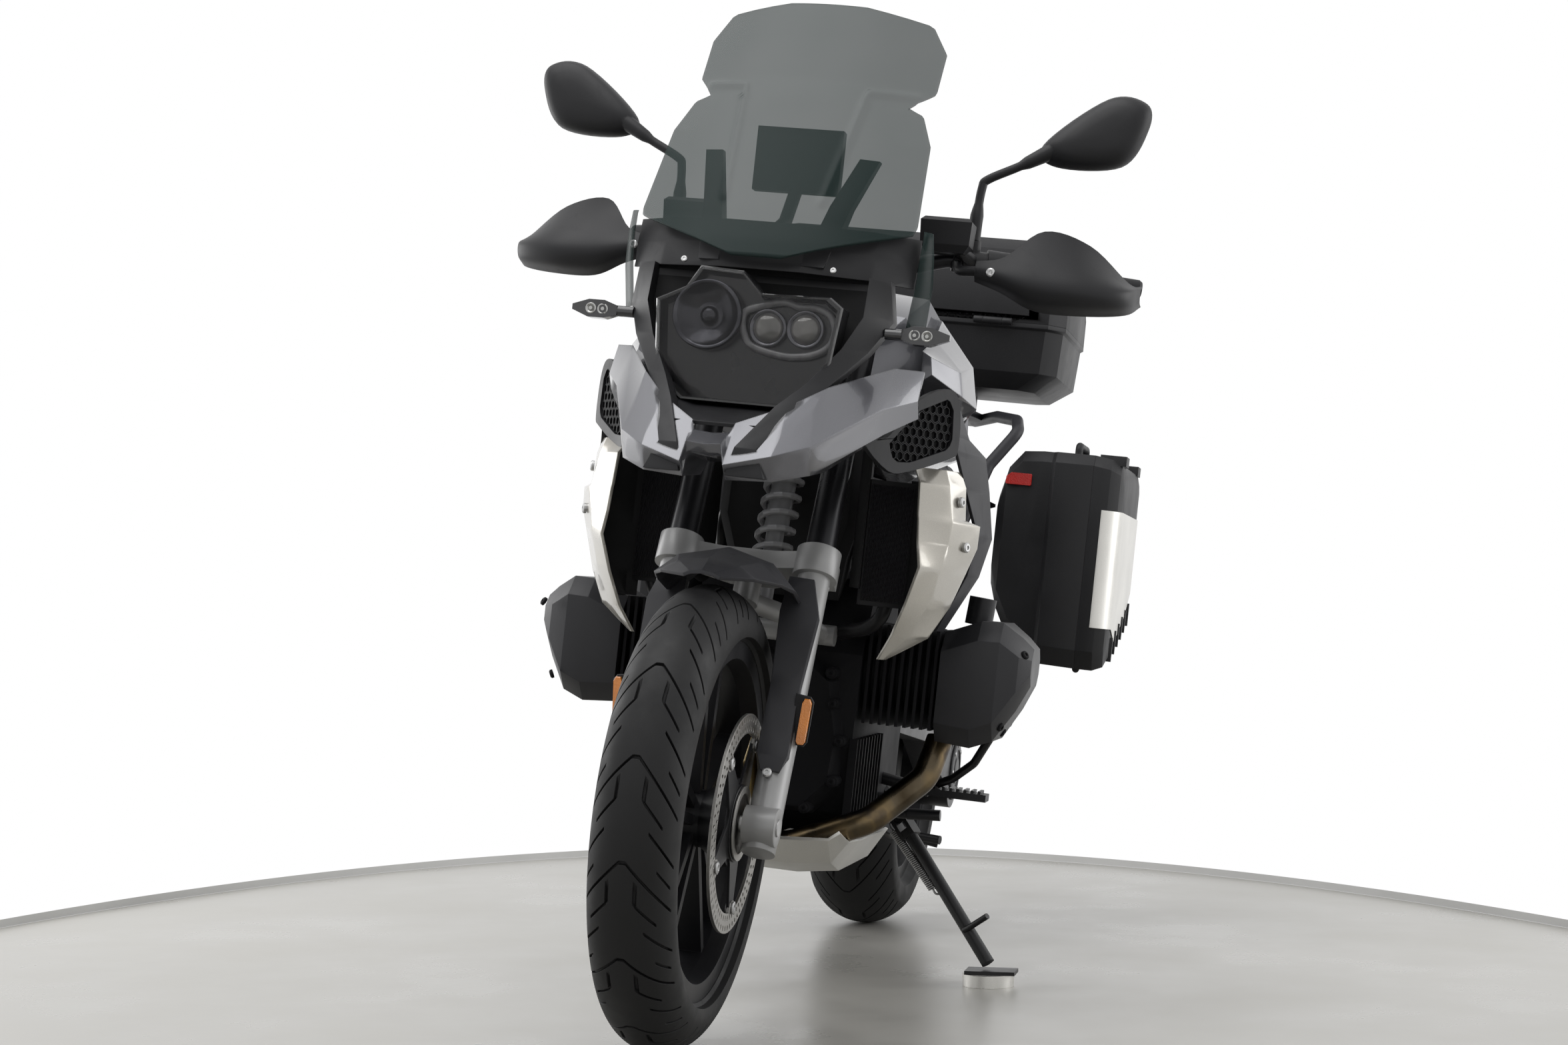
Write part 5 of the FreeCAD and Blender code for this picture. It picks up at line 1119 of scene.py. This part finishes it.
def mouthPoint(a, b):
    # where a ray from the mouth's middle towards a point leaves the mouth
    da, db = a - heartA, b - heartB
    best = None
    for (ax, ay), (bx, by) in edges(inlets["mouth"]):
        ea, eb = bx - ax, by - ay
        cross = da * eb - db * ea
        if abs(cross) > 1e-9:
            t = ((ax - heartA) * eb - (ay - heartB) * ea) / cross
            s = ((ax - heartA) * db - (ay - heartB) * da) / cross
            if t > 0 and -1e-6 <= s <= 1 + 1e-6 and (best is None or t < best):
                best = t
    return heartA + da * best, heartB + db * best


outer = [p.xy for p in smoothLine([(a, b, 0) for a, b in inlets["frameLine"]], 4, True)]
inner = [mouthPoint(a, b) for a, b in outer]
deep, soft = -inlets["depth"], -inlets["soften"]
rim = inletBand((outer, deep), (outer, soft), (outer, 0), (inner, 0), (inner, soft), (inner, deep))
honeycomb = []
low, high = inlets["walls"]
for row in range(inlets["rows"]):
    level = inlets["first"][1] + row * inlets["rowStep"] * inlets["pitch"]
    for column in range(inlets["columns"]):
        along = inlets["first"][0] + (column + 0.5 * (row % 2)) * inlets["pitch"]
        if insideLine(along, level, inlets["mouth"], inlets["slack"]):
            corners, small = (hexagon(along, level, radius) for radius in (inlets["cell"], inlets["cell"] - inlets["wall"]))
            honeycomb.append(inletBand((corners, low), (corners, high), (small, high), (small, low)))
add("inletFrames", pair(rim), "chassis", "black_plastic", replacing=["intake_grilles"])
# a near-black, darker than the black plastic: painted shade for the inlet backing, ducts, wings and silencer mouth,
# where only shadow is seen deep inside
shadeBlack = castMetal("inletDark", (0.004, 0.004, 0.0045), 0.7)
add("inletMesh", pair(gather(*honeycomb)), "chassis", "black_plastic")
add("inletBacking", pair(extruded(inner, *inlets["backing"], inletPlace)), "chassis", "black_plastic", shadeBlack)

# the dark ducts between lamp, radiators and frame, seen only past the fork, all in the near-black painted shade
shrouds = {
    "lampBack": [(-150, 1000), (-172, 1040), (-172, 1098), (-130, 1130), (130, 1130), (172, 1098), (172, 1040), (150, 1000),
                 (118, 930), (86, 898), (-86, 898), (-118, 930)],
    "airBox": [(640, 84, -300, -232), (706, 96, -322, -236), (760, 112, -330, -226), (860, 112, -318, -220),
               (896, 92, -300, -226)], "airBoxCut": 16,
    # a deflector from each radiator's inner edge back to the frame: its line in (x, y) and its heights
    "duct": [(146, -436), (138, -412), (124, -372), (112, -330)], "ductLevels": (664, 720, 780, 836, 880), "sheet": 2.5,
}
add("lampShroud", slab(shrouds["lampBack"], 0, 4, facing(-668, 0.25, 1000, -1)), "chassis", "black_plastic", shadeBlack)
add("airBox", choppedBox(shrouds["airBox"], shrouds["airBoxCut"]), "chassis", "black_plastic", shadeBlack)
ductGrid = [[(x, y, z) for x, y in shrouds["duct"]] for z in shrouds["ductLevels"]]
sideSheets("RadiatorDuct", ductGrid, shrouds["sheet"], "chassis", "black_plastic", shadeBlack)
print("inlets and ducts made")

# pieces that close the machine up behind its covers
closing = {
    # from the radiator's outer edge to behind the silver panel's inner edge: height, x and y of the far end
    "wings": [(616, 226, -452), (642, 240, -452), (660, 250, -456), (690, 261, -456), (720, 261, -462), (750, 252, -472),
              (780, 252, -472), (810, 252, -466), (834, 250, -456)], "wingStart": [(205, -416), (222, -424)],
    "wingBend": (12, 8),
    "midBox": [(672, 70, -216, 116), (740, 84, -226, 190), (800, 84, -218, 236), (848, 78, -196, 236)], "midBoxCut": 20,
    "hoses": [(186, -412, 648), (176, -404, 622), (150, -372, 604), (118, -340, 596), (96, -318, 590)], "hoseRadius": 11,
    "stubs": [(70, -40, 752), (112, -66, 728), (158, -112, 690), (186, -162, 650), (194, -190, 602)], "stubRadius": (25, 26.6),
}
bendX, bendY = closing["wingBend"]
wingGrid = [[(x, y, z) for x, y in closing["wingStart"] + [(far - bendX, deep + bendY), (far, deep)]]
            for z, far, deep in closing["wings"]]
# the wings too are in the near-black painted shade
sideSheets("RadiatorWing", wingGrid, shrouds["sheet"], "chassis", "black_plastic", shadeBlack)
add("midBox", choppedBox(closing["midBox"], closing["midBoxCut"]), "chassis", "black_plastic")
add("coolantHoses", pair(tube(smoothLine(closing["hoses"], 6), closing["hoseRadius"], 16)), "chassis", "black_plastic")
ribbed = smoothLine(closing["stubs"], 8)
stubs = tube(ribbed, [closing["stubRadius"][k % 2] for k in range(len(ribbed))], 24)
add("intakeStubs", pair(stubs), "chassis", "black_plastic")

# rear lamp and reflectors, display pane
for name, part, slotName in (
        ("tailLamp", slab(chopped(-56, 861, 56, 884, 3), 0, 7, facing(899)), "lamp_glass"),
        ("hangerReflector", slab(chopped(-26, 644, 26, 664, 2), 0, 4, facing(989.3, -0.42, 640)), "lamp_glass"),
        ("caseReflectors", pair(slab(chopped(176, 1109, 248, 1137, 3), 0, 3.5, facing(906.2, 0.087, 1110))), "case_black")):
    add(name, part, "chassis", slotName, red)
pane = slab(chopped(-58, 1258, 58, 1330, 4), 0, 1.4, facing(-498.2), 0.5)
add("displayPane", pane, "chassis", "black_plastic", pianoBlack)

# brake calipers' pistons and bolts, the final drive's cap and the head covers' bolts
calipers = {"pistons": (13, 33), "pistonRing": (142, 89.6), "bolts": (9, 24, 38), "boltRing": (168, 90), "boltRadius": 4.5,
            "profile": [(17, 0), (17, 3.5), (15.5, 5), (10, 5), (9, 3.2), (0, 3.2)]}
hub = {"middle": (149.6, 762.5, 318), "bolts": 8, "boltRing": 49, "boltOut": 5, "boltRadius": 4.5,
       "cap": [(58, 0), (58, 3), (55.5, 5), (42, 6), (40, 3.4), (26, 3.4), (24, 6), (12, 7), (0, 7)]}
heads = {"spots": [(-300, 474), (-300, 588), (-166, 474), (-160, 588), (-232, 462)], "from": 600, "radius": 7}


def onWheel(turn, radius, x):
    # a place beside the front wheel: degrees up from the way back, and how far from the axle
    a, wheel = math.radians(turn), tyres["front"]
    return Vector((x, wheel["y"] + radius * math.cos(a), wheel["radius"] + radius * math.sin(a)))


pistons = [spun(calipers["profile"], onWheel(turn, *calipers["pistonRing"]), (1, 0, 0), 28) for turn in calipers["pistons"]]
add("caliperPistons", pair(*pistons), "steering", "gold_cast")
add("finalDriveCap", spun(hub["cap"], hub["middle"], (1, 0, 0), 56), "chassis", "black_cast", finishes["cover_grey"])
x, y, z = hub["middle"]
ring = hub["boltRing"]
hubBolts = [(x + hub["boltOut"], y + ring * math.cos(a), z + ring * math.sin(a), (1, 0, 0), hub["boltRadius"])
            for a in turns(hub["bolts"])]
boltSet("hubBolts", "chassis", "steel", hubBolts)
caliperBolts = [(*onWheel(turn, *calipers["boltRing"]), (1, 0, 0), calipers["boltRadius"]) for turn in calipers["bolts"]]
boltSet("caliperBolts", "steering", "steel", bothSides(caliperBolts))
covers = nodes["head_covers"]
coverSkin = BVHTree.FromPolygons([toUpright @ (covers.matrix_world @ v.co) for v in covers.data.vertices],
                                 [tuple(face.vertices) for face in covers.data.polygons])
headBolts = []
for y, z in heads["spots"]:
    # where a line from machine-left meets the head cover
    spot, outward = coverSkin.ray_cast(Vector((heads["from"], y, z)), Vector((-1, 0, 0)))[:2]
    headBolts.append((*spot, tuple(outward if outward.x > 0 else -outward), heads["radius"]))
boltSet("headBolts", "chassis", "engine_black", bothSides(headBolts))

# cast ribs down the engine's lower sides
castRibs = {"count": 10, "start": (143, -330, 366), "step": (0.0, 25.0, 0.0), "size": (13.0, 5.0, 128.0)}
plateStacks("EngineRibs", castRibs, "engine_black")

# the filler's surround, a low plinth on the tank under the cap and its hinge: height, half width, front and back
filler = {"levels": [(1116, 72, -178, -10), (1138, 60, -162, -26), (1154, 52, -153, -35), (1160, 46, -147, -41)], "points": 48,
          "bulge": (0.72, 0.72)}
plinth = [[Vector((x, y, z)) for x, y in bulgedRing(*station, filler["points"], filler["bulge"])]
          for z, *station in filler["levels"]]
add("fillerPlinth", capped(plinth), "chassis", "black_plastic")

# the silencer's outlet, a turned lip round a mouth of near-black painted shade
outlet = {"place": (-184, 820, 495), "lip": [(31, -2), (31, 7), (28, 13), (25, 13), (24, 7), (24, 1)],
          "mouth": [(24.5, 0.4), (24.5, 2), (0, 2)]}
add("silencerLip", spun(outlet["lip"], outlet["place"], (0, 1, 0)), "chassis", "steel")
add("silencerMouth", spun(outlet["mouth"], outlet["place"], (0, 1, 0)), "chassis", "black_plastic", shadeBlack)
print("closing pieces made")

# moulded and cast covers: the CAD form with its corners rounded, as they leave a mould; width in mm and least angle
softer = {
    "beak": (2.2, 18), "nose_fairing": (1.6, 24), "tank_covers": (2.5, 16), "fuel_tank": (5, 14), "side_panels": (2, 22),
    "radiator_panels": (1.6, 20), "head_covers": (5, 16), "front_mudguard": (1.6, 22), "top_case": (3, 30),
    "top_case_lid": (3, 30), "pannier_left": (3, 30), "pannier_right": (3, 30), "pannier_lid_left": (3, 30),
    "pannier_lid_right": (3, 30), "silencer": (2.5, 25), "engine_block": (4, 24), "skid_plate": (1.6, 25), "tail": (2, 25),
    "rear_rack": (1.5, 30), "instruments": (2.5, 30), "fork_sliders": (2.5, 30), "front_calipers": (4, 30),
    "top_yoke": (2.5, 30),
}
rounding = {"weld": 0.00002, "flat": 0.6, "segments": 2, "mostSides": 4}
special = {"front_mudguard": moulded("mudguardGrey", (0.03, 0.03, 0.034), 0.42)}


def rounded(name, width, crease):
    mesh = nodes[name].data.copy()
    mesh.name = name + "Rounded"
    work = bmesh.new()
    work.from_mesh(mesh)
    bmesh.ops.remove_doubles(work, verts=work.verts, dist=rounding["weld"])
    bmesh.ops.dissolve_limit(work, angle_limit=math.radians(rounding["flat"]), verts=work.verts, edges=work.edges)
    corners = [e for e in work.edges if len(e.link_faces) == 2 and e.calc_face_angle(0) > math.radians(crease)]
    bmesh.ops.bevel(work, geom=corners, offset=width / 1000, offset_type="OFFSET", profile=0.5, affect="EDGES",
                    segments=rounding["segments"], clamp_overlap=True, loop_slide=True)
    bmesh.ops.remove_doubles(work, verts=work.verts, dist=rounding["weld"])
    bmesh.ops.recalc_face_normals(work, faces=work.faces)
    bmesh.ops.triangulate(work, faces=[f for f in work.faces if len(f.verts) > rounding["mostSides"]])
    work.to_mesh(mesh)
    work.free()
    mesh.materials.clear()
    mesh.polygons.foreach_set("use_smooth", [True] * len(mesh.polygons))
    mesh.set_sharp_from_angle(angle=math.radians(crease))
    addObject(name + "Rounded", mesh, bodyOf[name], slotOf[name], special.get(name), [name])


for name, (width, crease) in softer.items():
    rounded(name, width, crease)
print("covers rounded:", len(softer))

# camera, light and floor
camera = {"place": (0.7887, -4.1476, 0.5981), "turn": 12.24, "up": 2.21, "lens": 57.5, "sensor": 36}
studio = {
    "worldLight": 0.5,
    # where each lamp stands, what it aims at, how wide and how strong it is
    "lights": {"keyLight": ((-0.5, -1.2, 3.6), (0, 0, 0.6), 3.2, 62), "leftWall": ((3.0, 0.6, 1.4), (0, 0, 0.7), 2.2, 30),
               "rightWall": ((-3.0, 0.6, 1.4), (0, 0, 0.7), 2.2, 30)},
    "floorColour": (0.44, 0.43, 0.4), "floorRound": (1.9, 4.0), "floorMiddle": 2.47, "points": 160,
    "skirting": 0.016, "wallOut": 1.0005,
}
eye = inScene("camera", bpy.data.cameras.new("camera"))
eye.location = camera["place"]
eye.rotation_euler = (math.radians(90 + camera["up"]), 0, math.radians(camera["turn"]))
eye.data.lens = camera["lens"]
eye.data.sensor_width = camera["sensor"]
scene.camera = eye

# the surroundings light the machine dimly, and are white where they are seen, mirrored or looked through
world = bpy.data.worlds.new("studioWorld")
scene.world = world
world.use_nodes = True
sky = Graph(world.node_tree)
rays = [sky.node("ShaderNodeLightPath", out=kind) for kind in ("Is Camera Ray", "Is Transmission Ray", "Is Glossy Ray")]
shown = rays[0].join("MAXIMUM", rays[1]).join("MAXIMUM", rays[2])
dim, plain = (sky.node("ShaderNodeBackground", sockets={"Color": (1, 1, 1), "Strength": power})
              for power in (studio["worldLight"], 1))
sky.node("ShaderNodeOutputWorld", sockets={"Surface": sky.node("ShaderNodeMixShader", sockets={0: shown, 1: dim, 2: plain})})
for name, (place, aim, size, power) in studio["lights"].items():
    lamp = bpy.data.lights.new(name, "AREA")
    lamp.shape, lamp.size, lamp.energy = "DISK", size, power
    made = inScene(name, lamp)
    made.location = place
    made.rotation_euler = (Vector(aim) - Vector(place)).to_track_quat("-Z", "Y").to_euler()


def ground(name, points, faces, finish):
    mesh = bpy.data.meshes.new(name)
    mesh.from_pydata([tuple(p) for p in points], [], faces)
    mesh.materials.append(finish.material)
    return inScene(name, mesh)


# an oval floor under the view, with a low wall round its edge
turned = math.radians(camera["turn"])
ahead = Vector((-math.sin(turned), math.cos(turned), 0))
aside = Vector((ahead.y, -ahead.x, 0))
middle = Vector(camera["place"]) + ahead * studio["floorMiddle"]
middle.z = 0
wide, deep = studio["floorRound"]
floorPoints, skirting = [], []
for a in turns(studio["points"]):
    floorPoints.append(middle + aside * wide * math.cos(a) + ahead * deep * math.sin(a))
    ray = aside * wide * math.cos(a) + ahead * deep * math.sin(a)
    skirting.append([middle + ray * studio["wallOut"] + Vector((0, 0, lift)) for lift in (0, studio["skirting"])])
paleFloor = clouded("paleFloor", shade(studio["floorColour"], 0.94), shade(studio["floorColour"], 1.07), (0.22, 0.4),
                    (2.2, 6, 0.6))
studioFloor = ground("studioFloor", floorPoints, [tuple(range(studio["points"]))], paleFloor)
studioFloor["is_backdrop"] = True
paleWall = Finish("paleSkirting")
paleWall.tint(span(paleWall.grain(3, 2), 0, 1), (0.62, 0.62, 0.61), (0.7, 0.7, 0.69))
studioSkirting = ground("studioSkirting", *bridge(skirting, closedRound=False, closedLong=True), paleWall)
studioSkirting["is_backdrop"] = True
scene.view_settings.view_transform = "Standard"
print("studio made")

low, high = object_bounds()
